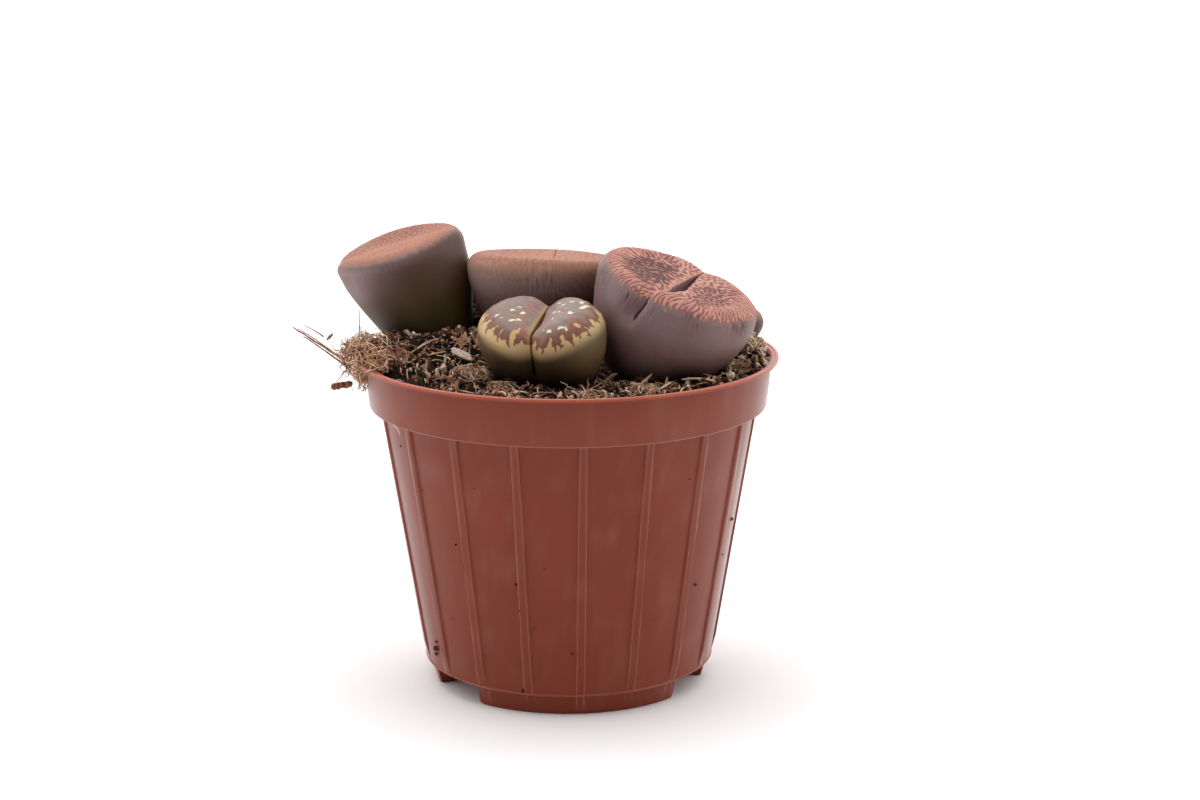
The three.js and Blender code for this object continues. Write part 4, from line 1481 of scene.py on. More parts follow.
@dataclass
class NurseryPot:
    """The moulded pot: turned shell with lip, band, ribs, three feet and drain holes."""

    lip_width: float = 0.85
    lip_thickness: float = 0.45
    band_top_radius: float = 26.6
    band_foot_radius: float = 26.0
    band_foot_z: float = 37.0
    body_top_radius: float = 24.5
    body_foot_radius: float = 19.0
    wall: float = 0.75
    foot_height: float = 2.6
    foot_count: int = 3
    foot_span: float = 89.0
    foot_outer: float = 17.9
    foot_inner: float = 16.2
    foot_draft: float = 0.7
    rib_count: int = 18
    rib_width: float = 1.1
    rib_height: float = 0.3
    mould_phase: float = 4.3
    drain_count: int = 5
    drain_radius: float = 1.7
    drain_circle: float = 11.0

    BODY_STEPS = 14
    LONG_WALL = 20.0
    RIB_ZONE = 0.35
    DRAIN_SIDES = 24

    def body_radius(self, z: Array | float) -> Array | float:
        """Radius of the fluted body's ground at a height."""
        share = (z - self.foot_height) / (self.band_foot_z - self.foot_height)
        return self.body_foot_radius + (self.body_top_radius - self.body_foot_radius) * share

    def mould_angle(self, index: int, count: int) -> float:
        """Angle of one of several marks of the mould, counted from the front."""
        return math.radians(self.mould_phase - 90 + 360 * index / count)

    def profile(self) -> Array:
        """The shell's section: up the outside, over the lip and down the inside, with round corners.

        Returns:
            places x 2: radius and height.
        """
        low = self.foot_height
        foot = self.body_foot_radius
        band = self.band_foot_z
        floor = low + self.wall
        under = POT_HEIGHT - self.lip_thickness
        corners = [
            (0.0, low, 0.0),
            (foot - 0.35, low, 0.1),
            (foot - 0.05, low + 0.25, 0.05),
            (foot + 0.16, low + 0.3, 0.04),
            (foot + 0.16, low + 0.42, 0.04),
            (foot + 0.02, low + 0.5, 0.05),
            (self.body_top_radius, band, 0.3),
            (self.band_foot_radius, band, 0.22),
            (self.band_top_radius, under, 0.2),
            (LIP_RADIUS, under, 0.14),
            (LIP_RADIUS, POT_HEIGHT, 0.16),
            (LIP_RADIUS - self.lip_width * 0.45, POT_HEIGHT - 0.02, 0.02),
            (LIP_RADIUS - self.lip_width * 0.55, POT_HEIGHT - 0.09, 0.02),
            (LIP_RADIUS - self.lip_width, POT_HEIGHT - 0.04, 0.16),
            (self.band_top_radius - self.wall, POT_HEIGHT - 1.2, 0.4),
            (self.band_foot_radius - self.wall, band + 0.9, 0.3),
            (self.body_top_radius - self.wall, band - 0.8, 0.3),
            (self.body_radius(floor) - self.wall, floor, 0.5),
            (0.0, floor, 0.0),
        ]
        rounded = []
        for before, here, after in zip(corners, corners[1:], corners[2:]):
            corner = np.array(here[:2])
            back = unit(np.array(before[:2]) - corner)
            ahead = unit(np.array(after[:2]) - corner)
            for t in np.linspace(0, 1, 5):
                start = corner + back * here[2]
                end = corner + ahead * here[2]
                rounded.append((1 - t) ** 2 * start + 2 * t * (1 - t) * corner + t * t * end)
        return np.array(rounded)

    def angles(self) -> Array:
        """Where the shell's upright lines stand: close together at the ribs.

        Returns:
            Their angles in radians.
        """
        marks = np.array([-0.62, -0.56, -0.5, -0.44, -0.36, 0.0, 0.36, 0.44, 0.5, 0.56, 0.62])
        at_rib = np.degrees(marks * self.rib_width / self.body_radius(20.0))
        pitch = 360 / self.rib_count
        between = np.linspace(at_rib[-1], pitch + at_rib[0], 13)[1:-1]
        one = np.concatenate([at_rib, between])
        every = (one[None] + pitch * np.arange(self.rib_count)[:, None]).ravel()
        return np.radians(every + self.mould_phase - 90)

    def rib_distance(self, angles: Array, z: Array) -> Array:
        """How far places are from the middle of the nearest rib, in rib widths.

        Args:
            angles: round the pot's axis.
            z: heights, of the same shape.

        Returns:
            The distance of each.
        """
        pitch = 2 * math.pi / self.rib_count
        away = (angles - self.mould_angle(0, 1) + pitch / 2) % pitch - pitch / 2
        return np.abs(away) * self.body_radius(z) / self.rib_width

    def rib_rise(self, angles: Array, z: Array) -> Array:
        """How far the ribs stand out.

        Args:
            angles: round the pot's axis.
            z: heights, of the same shape.

        Returns:
            The distance in millimetres.
        """
        distance = self.rib_distance(angles, z)
        on_body = ease(z, self.foot_height + 0.5, self.foot_height + 0.9)
        on_body = on_body * (z < self.band_foot_z + 0.01)
        return self.rib_height * ease(distance, 0.56, 0.43) * on_body

    def shell(self) -> Shape:
        """The turned shell with its ribs, closed at the axis.

        Returns:
            The shell, without feet and drain holes.
        """
        profile = self.profile()
        fine = []
        for (r0, z0), (r1, z1) in zip(profile, profile[1:]):
            steps = self.BODY_STEPS if abs(z1 - z0) > self.LONG_WALL else 1
            for t in np.arange(steps) / steps:
                fine.append((r0 + (r1 - r0) * t, z0 + (z1 - z0) * t))
        fine.append(tuple(profile[-1]))
        rings = np.array(fine)
        peak = int(np.argmax(rings[:, 1]))
        angles = self.angles()
        radius = rings[:, :1] + 0 * angles[None]
        z = rings[:, 1:] + 0 * angles[None]
        outer = (np.arange(len(rings)) < peak)[:, None]
        near_wall = outer & (np.abs(radius - self.body_radius(z)) < self.RIB_ZONE)
        radius = radius + np.where(near_wall, self.rib_rise(angles[None] + 0 * z, z), 0)
        points = round_axis(radius, angles, z).reshape(-1, 3)
        grid = np.arange(len(points)).reshape(-1, len(angles))
        ends = np.array([[0, 0, self.foot_height], [0, 0, self.foot_height + self.wall]])
        under = fan(len(points), grid[0], flipped=True)
        over = fan(len(points) + 1, grid[-1])
        return Shape(np.concatenate([points, ends]), [ring_walls(grid, flipped=True), under, over])

    def foot(self, index: int) -> Shape:
        """One foot: a stretch of a low ring with round edges, sunk into the floor.

        Args:
            index: its number, from 0.

        Returns:
            The foot.
        """
        middle = self.mould_angle(index, self.foot_count)
        half = math.radians(self.foot_span / 2)
        top = self.foot_height + self.wall / 2
        outer_top = self.foot_outer + self.foot_draft
        section = np.array([
            (self.foot_inner, top), (self.foot_inner, 0.2), (self.foot_inner + 0.06, 0.06),
            (self.foot_inner + 0.2, 0.0), (self.foot_outer - 0.2, 0.0), (self.foot_outer - 0.05, 0.05),
            (self.foot_outer + 0.02, 0.2), (outer_top, top),
        ])
        turns = np.linspace(-half, half, 61)
        inset = 0.12 * ease(np.abs(turns), half - 0.02, half)
        centre = section.mean(axis=0)
        ring = centre + (section - centre)[None] * (1 - inset)[:, None, None]
        ring[:, :, 1] = np.maximum(ring[:, :, 1], section[None, :, 1])
        points = round_axis(ring[:, :, 0], (middle + turns)[:, None], ring[:, :, 1]).reshape(-1, 3)
        grid = np.arange(len(points)).reshape(-1, len(section))
        return Shape(points, [ring_walls(grid), np.array([grid[0], grid[-1][::-1]])])

    def cut(self, target: Piece, tool: Piece, operation: str) -> None:
        """Joins a tool to the pot or cuts it out, and removes the tool.

        Args:
            target: the pot.
            tool: the other solid.
            operation: UNION or DIFFERENCE.
        """
        modifier = target.modifiers.new(operation, "BOOLEAN")
        modifier.operation = operation
        modifier.object = tool
        modifier.solver = "MANIFOLD"
        bpy.context.view_layer.update()
        graph = bpy.context.evaluated_depsgraph_get()
        result = bpy.data.meshes.new_from_object(target.evaluated_get(graph))
        target.modifiers.clear()
        target.data = result
        bpy.data.objects.remove(tool)

    def drains(self) -> Shape:
        """The drain holes, as short rods that are cut out of the floor.

        Returns:
            The rods.
        """
        angles = 2 * math.pi * np.arange(self.DRAIN_SIDES) / self.DRAIN_SIDES
        rings = np.arange(2 * self.DRAIN_SIDES).reshape(2, -1)
        faces = [ring_walls(rings, flipped=True), rings[:1, ::-1], rings[1:]]
        parts = []
        for index in range(self.drain_count):
            middle = round_axis(self.drain_circle, self.mould_angle(index, self.drain_count), 0.0)
            ends = [round_axis(self.drain_radius, angles, self.foot_height + z) for z in (-1, 2)]
            parts.append(Shape(middle + np.concatenate(ends), faces))
        return Shape.joined(parts)

    def build(self) -> Piece:
        """Builds the pot as one closed shell.

        Returns:
            The piece.
        """
        finish = POT_PLASTIC.material()
        pot = self.shell().to_object("pot_shell", finish)
        for index in range(self.foot_count):
            self.cut(pot, self.foot(index).to_object("foot", finish), "UNION")
        self.cut(pot, self.drains().to_object("drains", finish), "DIFFERENCE")
        self.add_masks(pot)
        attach(pot, BODY)
        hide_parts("pot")
        return pot

    def add_masks(self, pot: Piece) -> None:
        """Marks the painted highlights of the thin lip, the seam and the ribs' edges, and where dust lies.

        Args:
            pot: the finished shell.
        """
        mesh = pot.data
        points = np.zeros(len(mesh.vertices) * 3)
        mesh.vertices.foreach_get("co", points)
        points = points.reshape(-1, 3) / MM - [AXIS_X, 0, 0]
        radius = np.hypot(points[:, 0], points[:, 1])
        z = points[:, 2]
        # Painted highlight and glow through the thin plastic: full at the lip, under half along the seam.
        lip = ease(z, POT_HEIGHT - 0.45, POT_HEIGHT - 0.15)
        seam = np.exp(-((z - self.foot_height - 0.36) / 0.14) ** 2) * (radius > self.body_foot_radius)
        dust = np.clip(0.35 * ripples(points, 7.0, 5) + 0.2 * ripples(points, 1.6, 6), 0, 1)
        distance = self.rib_distance(np.arctan2(points[:, 1], points[:, 0]), z)
        on_wall = (np.abs(radius - self.body_radius(z)) < 0.5) & (z < self.band_foot_z)
        # Painted highlight lines along the ribs' edges and the band's foot.
        rib = np.exp(-(((distance - 0.44) / 0.05) ** 2)) * on_wall
        band_foot_highlight = np.exp(-(((z - self.band_foot_z) / 0.16) ** 2)) * (radius > self.band_foot_radius - 0.4)
        edge = np.maximum(lip, 0.45 * seam)
        write_masks(mesh, {"edge": edge, "dust": dust, "rib": np.maximum(rib, band_foot_highlight)})
        mesh.polygons.foreach_set("use_smooth", np.full(len(mesh.polygons), True))
        mesh.set_sharp_from_angle(angle=math.radians(50))


@dataclass
class Wad:
    """A tangle of curled fibre: where it lies, how far it reaches and how much there is."""

    centre: Triple
    half: Triple
    count: int
    steps: int = 14
    step_mm: tuple[float, float] = (0.14, 0.34)
    radius_mm: tuple[float, float] = (0.035, 0.085)
    curl: float = 0.34
    tints: tuple[float, float] = (0.0, 1.0)
    rise: float = 0.8
    hold: float = 1.9

    def build(self, random: Draws) -> Shape:
        """Lets each fibre wander from near the middle, held back more the further out it is.

        Args:
            random: the source of the draws.

        Returns:
            The fibres, each with its tint.
        """
        start = np.array(self.centre) + random.normal(0, 0.55, (self.count, 3)) * self.half
        heading = unit(random.normal(size=(self.count, 3)) * [1.0, 1.0, self.rise])
        length = random.uniform(*self.step_mm, (self.count, 1))
        walk = [start]
        for _ in range(self.steps - 1):
            pull = (np.array(self.centre) - walk[-1]) / (np.array(self.half) * 3.2)
            heading = unit(heading + random.normal(0, self.curl, (self.count, 3)) + pull * 0.22)
            walk.append(walk[-1] + heading * length)
        radii = random.uniform(*self.radius_mm, (self.count, 1)) * np.linspace(1.1, 0.6, self.steps)[None]
        low, high = self.tints
        shades = low + (high - low) * random.beta(1.6, 1.5, self.count)
        away = (np.stack(walk, axis=1) - self.centre) / self.half
        reach = np.linalg.norm(away, axis=-1, keepdims=True) / self.hold
        held = away / (1 + reach ** 4) ** 0.25
        return threads(np.array(self.centre) + held * self.half, radii, 3, shades)


@dataclass
class PottingMix:
    """The mix: a bed of damp peat with crumbs, fibre and flakes on it."""

    plants: list[LeafPair]
    level: float = 41.9
    heaps: tuple[tuple[float, float, float, float], ...] = (
        (-19.0, 1.0, 11.0, 3.4), (-4.0, 10.0, 12.0, 1.6), (23.0, 3.0, 7.0, 2.6),
        (-12.4, 16.0, 4.2, 5.4), (23.0, 9.5, 4.0, 1.5), (25.5, 1.5, 4.5, 0.8),
    )
    dry_from: float = 15.0
    ledge: tuple[float, float, int] = (-24.0, 38.0, 170)
    ledge_radii: tuple[float, float] = (24.6, 26.3)
    ledge_z: float = 43.0
    bank: tuple[float, float, float, int] = (-12.4, 16.0, 5.5, 420)
    lump_height: float = 0.16
    lump_waves: tuple[Triple, ...] = ((1.1, 0.6, 0.0), (-0.7, 0.9, 2.0), (0.0, 1.7, 1.0))
    floor_z: float = 3.65
    floor_radius: float = 18.0
    step_z: float = 36.3
    step_radius: float = 23.3
    edge_radius: float = 25.2
    crumb_count: int = 3800
    coarse_count: int = 1350
    fibre_count: int = 1500
    straw_count: int = 110
    flake_count: int = 420
    wads: tuple[Wad, ...] = (
        Wad((23.2, 0.5, 44.8), (1.5, 4.0, 0.6), 220, 12, (0.16, 0.34), (0.06, 0.13), 0.42, (0.45, 1.15)),
        Wad((25.0, 2.0, 43.8), (0.6, 4.4, 0.4), 180, 12, (0.16, 0.32), (0.06, 0.13), 0.42, (0.45, 1.15)),
        Wad((23.2, 8.0, 44.2), (1.2, 2.0, 0.5), 90, tints=(0.3, 1.0)),
        Wad((21.0, -7.5, 43.4), (2.4, 2.8, 0.6), 90, 12, (0.14, 0.3), (0.05, 0.13), 0.42, (0.3, 1.0)),
        Wad((-12.0, -12.5, 43.5), (2.4, 2.6, 0.5), 80, radius_mm=(0.045, 0.11), tints=(0.25, 1.0)),
        Wad((-8.5, -18.5, 42.6), (2.2, 2.0, 0.5), 50, radius_mm=(0.045, 0.11), tints=(0.2, 0.9)),
        Wad((9.5, -19.0, 42.5), (2.6, 1.6, 0.5), 70, radius_mm=(0.045, 0.11), tints=(0.25, 1.0)),
        Wad((3.0, -21.8, 42.4), (1.8, 1.0, 0.5), 50, tints=(0.2, 0.9)),
        Wad((-9.6, -4.2, 44.0), (1.2, 1.4, 0.9), 60, tints=(0.1, 0.6)),
    )
    specks: tuple[Triple, ...] = (
        (-18, 18.1, 0.2), (-17, 14.6, 0.2), (-14, 11.8, 0.16), (-12, 12.2, 0.12), (-62, 6.0, 0.4),
        (-61, 7.0, 0.25), (-63, 5.1, 0.25), (1, 8.8, 0.2), (-18, 3.3, 0.22), (4, 15.9, 0.12),
        (-8, 20.5, 0.14),
        (-37, 19.6, 0.24), (-36.6, 19.1, 0.18), (50, 15.9, 0.18), (-40, 22.3, 0.15), (4, 22.5, 0.16),
        (5, 24.3, 0.12), (-63, 33.6, 0.15), (-53, 28.6, 0.12), (72, 22.7, 0.25), (68, 18.3, 0.16),
        (-30, 30.5, 0.1), (22, 27.0, 0.1), (31, 12.5, 0.1), (-47, 11.5, 0.12), (40, 31.0, 0.1),
    )
    seed: int = 7

    def surface(self, x: Array, y: Array) -> Array:
        """Height of the bed, without its crumbs.

        Args:
            x, y: places in millimetres.

        Returns:
            The height at each.
        """
        z = self.level + 0 * x
        for at_x, at_y, reach, rise in self.heaps:
            z = z + rise * np.exp(-(((x - at_x) ** 2 + (y - at_y) ** 2) / reach ** 2))
        for wave_x, wave_y, phase in self.lump_waves:
            z = z + self.lump_height * np.sin(wave_x * x + wave_y * y + phase)
        places = np.stack([x, y], axis=-1)
        return z + 0.26 * ripples(places, 3.0, 3) + 0.13 * ripples(places, 1.3, 4)

    def clear(self, points: Array, margin: float) -> Array:
        """Whether places are outside every leaf pair.

        Args:
            points: places x 3 coordinates.
            margin: clearance from the leaf pairs.

        Returns:
            True for each place outside.
        """
        inside = np.zeros(len(points), bool)
        for plant in self.plants:
            inside |= plant.holds(points, margin)
        return ~inside

    def scattered(self, random: Draws, count: int, margin: float) -> Array:
        """Random places on the bed, off the leaf pairs.

        Args:
            random: the source of the draws.
            count: how many are drawn, of which some fall away.
            margin: clearance from the leaf pairs and the wall.

        Returns:
            places x 3 coordinates.
        """
        radius = (self.edge_radius - margin) * np.sqrt(random.uniform(0, 1, count))
        angle = random.uniform(0, 2 * math.pi, count)
        x = radius * np.cos(angle)
        y = radius * np.sin(angle)
        points = np.stack([x, y, self.surface(x, y)], axis=-1)
        return points[self.clear(points, margin)]

    def on_ledge(self, random: Draws) -> Array:
        """Random places at the right, where the mix stands up to the pot's lip.

        Args:
            random: the source of the draws.

        Returns:
            places x 3 coordinates.
        """
        first, last, count = self.ledge
        inner, outer = self.ledge_radii
        angle = np.radians(random.uniform(first, last, count))
        radius = random.uniform(inner, outer, count)
        return round_axis(radius, angle, self.ledge_z + 0.5 * ease(radius, outer, inner))

    def on_bank(self, random: Draws) -> Array:
        """Random places on the steep bank behind the two leaf pairs at the back.

        Args:
            random: the source of the draws.

        Returns:
            places x 3 coordinates.
        """
        at_x, at_y, reach, count = self.bank
        x = at_x + random.normal(0, reach / 2, count)
        y = at_y + random.normal(0, reach / 2, count)
        points = np.stack([x, y, self.surface(x, y)], axis=-1)
        return points[self.clear(points, 0.2) & (np.hypot(x, y) < self.edge_radius - 0.4)]

    def bed(self) -> Shape:
        """The bed: its surface, its side against the pot's wall and its underside.

        Returns:
            The bed as one closed skin.
        """
        rings = 60
        sides = 240
        angles = 2 * math.pi * np.arange(sides) / sides
        radii = self.edge_radius * np.arange(1, rings + 1)[:, None] / rings
        x = radii * np.cos(angles)
        y = radii * np.sin(angles)
        top = np.stack([x, y, self.surface(x, y)], axis=-1)
        lower = [(self.step_radius + 1.4, self.step_z + 1.6), (self.step_radius, self.step_z),
                 (self.floor_radius, self.floor_z)]
        walls = [round_axis(radius, angles, z) for radius, z in lower]
        points = np.concatenate([top.reshape(-1, 3), *walls])
        grid = np.arange(len(points)).reshape(-1, sides)
        hub = len(points)
        middle = np.array([[0, 0, float(self.surface(np.zeros(1), np.zeros(1))[0])], [0, 0, self.floor_z]])
        faces = [ring_walls(grid), fan(hub, grid[0]), fan(hub + 1, grid[-1], flipped=True)]
        return Shape(np.concatenate([points, middle]), faces)

    def crumbs(self, random: Draws) -> Shape:
        """Crumbs of peat and bark, small ones and some coarse ones.

        Args:
            random: the source of the draws.

        Returns:
            The crumbs.
        """
        small = self.scattered(random, self.crumb_count, 0.25)
        small[:, 2] += random.uniform(-0.1, 0.3, len(small))
        size = 0.15 + 0.2 * random.uniform(0, 1, (len(small), 1)) ** 2
        shape = size * random.uniform(0.5, 1.3, (len(small), 3))
        tints = random.beta(0.9, 1.5, len(small)) + self.dryness(small)
        coarse = self.scattered(random, self.coarse_count, 0.6)
        ledge = self.on_ledge(random)
        coarse = np.concatenate([coarse, self.on_bank(random), ledge])
        coarse[:, 2] += random.uniform(-0.1, 0.6, len(coarse))
        spread = random.uniform(0, 1, (len(coarse), 1)) ** 2
        spread[-len(ledge):] *= 0.3
        big = (0.25 + 0.38 * spread) * random.uniform(0.35, 1.3, (len(coarse), 3))
        big_tints = random.beta(0.9, 1.4, len(coarse)) + self.dryness(coarse)
        fine = lumps(random, small, shape, 1, tints)
        return Shape.joined([fine, lumps(random, coarse, big, 2, big_tints)])

    def dryness(self, points: Array) -> Array:
        """How much paler the mix is at the right, where it stands high and dries first."""
        return 0.17 * ease(points[:, 0], self.dry_from, self.dry_from + 7)

    def wall_specks(self, random: Draws, pot: NurseryPot) -> Shape:
        """Crumbs that stick to the pot's wall.

        Args:
            random: the source of the draws.
            pot: the pot, which gives the wall's radius.

        Returns:
            The crumbs.
        """
        rows = np.array(self.specks)
        angle = np.radians(rows[:, 0] - 90)
        radius = pot.body_radius(rows[:, 1]) + 0.3 * rows[:, 2]
        points = round_axis(radius, angle, rows[:, 1])
        sizes = rows[:, 2:3] * random.uniform(0.6, 1.1, (len(rows), 3))
        return lumps(random, points, sizes, 2, random.uniform(0.05, 0.5, len(rows)))

    def held_in(self, paths: Array) -> Array:
        """Keeps fibres inside the pot, above the bed and off the leaf pairs.

        Args:
            paths: fibres x steps x 3 places.

        Returns:
            The fibres that stay, moved where they have to be.
        """
        edge = np.hypot(paths[..., 0], paths[..., 1])
        shrink = np.minimum(1, (self.edge_radius - 0.2) / np.maximum(edge, 1e-6))
        paths[..., :2] *= shrink[..., None]
        keep = np.ones(len(paths), bool)
        for number in range(0, paths.shape[1], 3):
            keep &= self.clear(paths[:, number], 0.1)
        paths = paths[keep]
        ground = self.surface(paths[..., 0], paths[..., 1])
        paths[..., 2] = np.maximum(paths[..., 2], ground - 0.1)
        return paths

    def fibres(self, random: Draws) -> Shape:
        """Short curled fibres that lie over the bed, some longer straws, and the wads.

        Args:
            random: the source of the draws.

        Returns:
            The fibres.
        """
        start = self.scattered(random, self.fibre_count, 0.9)
        start[:, 2] += random.uniform(0.0, 0.5, len(start))
        count = len(start)
        turn = random.uniform(0, 2 * math.pi, count)
        heading = np.stack([np.cos(turn), np.sin(turn), random.normal(0.15, 0.3, count)], axis=-1)
        length = random.uniform(0.1, 0.34, (count, 1))
        walk = [start]
        for _ in range(9):
            heading = unit(heading + random.normal(0, 0.3, (count, 3)) * [1, 1, 0.7] - [0, 0, 0.05])
            walk.append(walk[-1] + heading * length)
        curled = self.held_in(np.stack(walk, axis=1))
        taper = np.array([[0.6, 1, 1, 1, 1, 1, 1, 1, 0.8, 0.5]])
        radii = random.uniform(0.045, 0.12, (len(curled), 1)) * taper
        middle = self.scattered(random, self.straw_count, 1.2)
        turn = random.uniform(0, 2 * math.pi, len(middle))
        reach = np.stack([np.cos(turn), np.sin(turn), random.normal(0, 0.25, len(middle))], axis=-1)
        reach = reach * random.uniform(1.0, 2.6, (len(middle), 1))
        lift = np.array([0.0, 0.0, 0.55])
        bend = random.normal(0, 0.22, (len(middle), 3))
        straight = bent(np.stack([middle - reach, middle - reach * 0.3 + lift + bend,
                                  middle + reach * 0.3 + lift + bend, middle + reach + lift], axis=1), 10)
        straight = self.held_in(straight)
        straw_radii = random.uniform(0.09, 0.17, (len(straight), 1)) * taper
        curled_tints = random.beta(1.4, 1.6, len(curled)) + self.dryness(curled[:, 0])
        parts = [threads(curled, radii, 3, curled_tints),
                 threads(straight, straw_radii, 5, random.uniform(0.35, 0.85, len(straight)))]
        return Shape.joined(parts + [wad.build(random) for wad in self.wads])

    def flakes(self, random: Draws) -> Shape:
        """Thin flakes and splinters of bark and wood.

        Args:
            random: the source of the draws.

        Returns:
            The flakes.
        """
        places = self.scattered(random, self.flake_count, 1.0)
        places[:, 2] += random.uniform(0.1, 0.5, len(places))
        size = np.stack([random.uniform(0.6, 1.5, len(places)), random.uniform(0.18, 0.45, len(places)),
                         random.uniform(0.05, 0.1, len(places))], axis=-1)
        return lumps(random, places, size, 1, random.beta(2.2, 1.4, len(places)))

    def build(self, pot: NurseryPot) -> list[Piece]:
        """Builds the bed, what lies on it and what sticks to the pot.

        Args:
            pot: the pot that holds the mix.

        Returns:
            The pieces.
        """
        random = np.random.default_rng(self.seed)
        bed = self.bed().to_object("mix_bed", PEAT_BED.material())
        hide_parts("potting_mix")
        crumbs = self.crumbs(random).to_object("mix_crumbs", MIX_CRUMBS.material(), smooth=False)
        fibres = self.fibres(random).to_object("mix_fibres", MIX_FIBRE.material())
        flakes = self.flakes(random).to_object("mix_flakes", MIX_CRUMBS.material(), smooth=False)
        specks = self.wall_specks(random, pot).to_object("mix_specks", MIX_CRUMBS.material(), smooth=False)
        pieces = [bed, crumbs, fibres, flakes, specks]
        for piece in pieces:
            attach(piece, BODY)
        return pieces


@dataclass
class RootTuft:
    """Dry root fibre in a tangle over the rim at the left, with its straws and loose threads."""

    depth: float = -3.0
    clumps: tuple[Wad, ...] = (
        # The first clump is the tangle's core: its dark threads are painted shade deep inside the tangle.
        Wad((-23.8, -2.5, 44.0), (2.2, 4.2, 1.2), 260, tints=(0.0, 0.3), curl=0.4),
        Wad((-24.8, -4.5, 44.6), (2.5, 4.0, 1.5), 120, 18, (0.18, 0.36), (0.06, 0.11), 0.2, (0.4, 1.0)),
        Wad((-26.6, -3.6, 43.6), (1.3, 2.6, 1.8), 110, 18, (0.2, 0.42), (0.05, 0.1), 0.17, (0.4, 1.0), 1.8),
        Wad((-26.2, -5.0, 41.9), (0.8, 1.6, 1.5), 80, 14, (0.14, 0.34), (0.045, 0.09), 0.2, (0.4, 1.0), 2.2),
        Wad((-28.7, -3.0, 44.0), (0.6, 1.0, 1.9), 60, 12, (0.12, 0.3), (0.04, 0.08), 0.28, (0.25, 0.8), 2.6),
        Wad((-23.0, -7.8, 44.3), (2.1, 2.2, 0.9), 80, 20, (0.2, 0.42), (0.05, 0.1), 0.16, (0.25, 0.95)),
        Wad((-24.2, -9.8, 43.7), (1.3, 1.4, 0.5), 60, 14, (0.16, 0.34), (0.045, 0.09), 0.22, (0.3, 1.0)),
        Wad((-23.6, -4.2, 45.5), (1.5, 2.4, 0.4), 50, 10, (0.16, 0.3), (0.07, 0.14), 0.4, (0.0, 0.25)),
    )
    strays: int = 110
    stray_middle: tuple[float, float] = (-26.0, 43.6)
    crumb_middle: tuple[float, float] = (-25.2, 43.9)
    crumb_count: int = 230
    straws: tuple[tuple[float, float, float, float, float, float], ...] = (
        (-28.1, 42.4, -35.5, 47.5, 0.2, 0.42), (-28.3, 42.9, -34.9, 47.3, 0.13, 0.55),
        (-28.6, 42.3, -34.2, 46.3, 0.16, 0.36), (-31.6, 46.2, -34.1, 47.8, 0.1, 0.3),
        (-28.8, 41.9, -31.4, 38.6, 0.07, 0.5), (-27.2, 46.0, -26.8, 49.9, 0.08, 0.35),
        (-28.6, 42.6, -29.2, 40.1, 0.06, 0.5), (-28.2, 39.7, -27.8, 38.5, 0.05, 0.5),
        (-29.4, 43.4, -31.5, 46.2, 0.06, 0.5), (-27.9, 42.6, -29.8, 40.9, 0.07, 0.5),
        (-22.0, 37.4, -21.1, 36.1, 0.13, 0.95),
    )
    spike: tuple[float, float, float, float] = (-31.1, 45.9, -29.8, 47.3)
    pellet: Triple = (-29.35, -3.0, 39.8)
    seed: int = 19

    def loose_threads(self, random: Draws) -> Shape:
        """Fine threads that stick out of the tangle.

        Args:
            random: the source of the draws.

        Returns:
            The threads.
        """
        count = self.strays
        angle = random.uniform(0.2, 1.55, count) * math.pi
        x, z = self.stray_middle
        start = np.stack([x + 1.9 * np.cos(angle), self.depth + random.normal(0, 2.0, count),
                          z + 1.7 * np.sin(angle)], axis=-1)
        out = np.stack([np.cos(angle), random.normal(0, 0.35, count), np.sin(angle)], axis=-1)
        length = random.uniform(0.8, 3.0, (count, 1))
        controls = np.stack([start, start + out * length * 0.4 + random.normal(0, 0.3, (count, 3)),
                             start + out * length * 0.7 + random.normal(0, 0.4, (count, 3)),
                             start + out * length], axis=1)
        paths = bent(controls, 9)
        radii = random.uniform(0.035, 0.06, (count, 1)) * np.linspace(1.0, 0.5, 9)[None]
        return threads(paths, radii, 3, random.beta(2.0, 1.5, count))

    def straw_bundle(self, random: Draws) -> Shape:
        """The straws and the single long threads.

        Args:
            random: the source of the draws.

        Returns:
            The straws and threads.
        """
        rows = np.array(self.straws)
        count = len(rows)
        depth = np.where(rows[:, 0] > -26, -15.0, self.depth)
        first = np.stack([rows[:, 0], depth, rows[:, 1]], axis=-1)
        last = np.stack([rows[:, 2], depth, rows[:, 3]], axis=-1)
        controls = [first + (last - first) * t + random.normal(0, 0.16, (count, 3)) * [1, 2, 1] * (0 < t < 1)
                    for t in (0, 0.33, 0.66, 1)]
        paths = bent(np.stack(controls, axis=1), 22)
        paths[:, 1:-1] += random.normal(0, 0.02, (count, 20, 3))
        along = np.linspace(0, 1, 22)[None]
        radii = rows[:, 4:5] * (1 - 0.55 * along) * random.uniform(0.85, 1.15, (count, 22))
        return threads(paths, radii, 6, rows[:, 5])

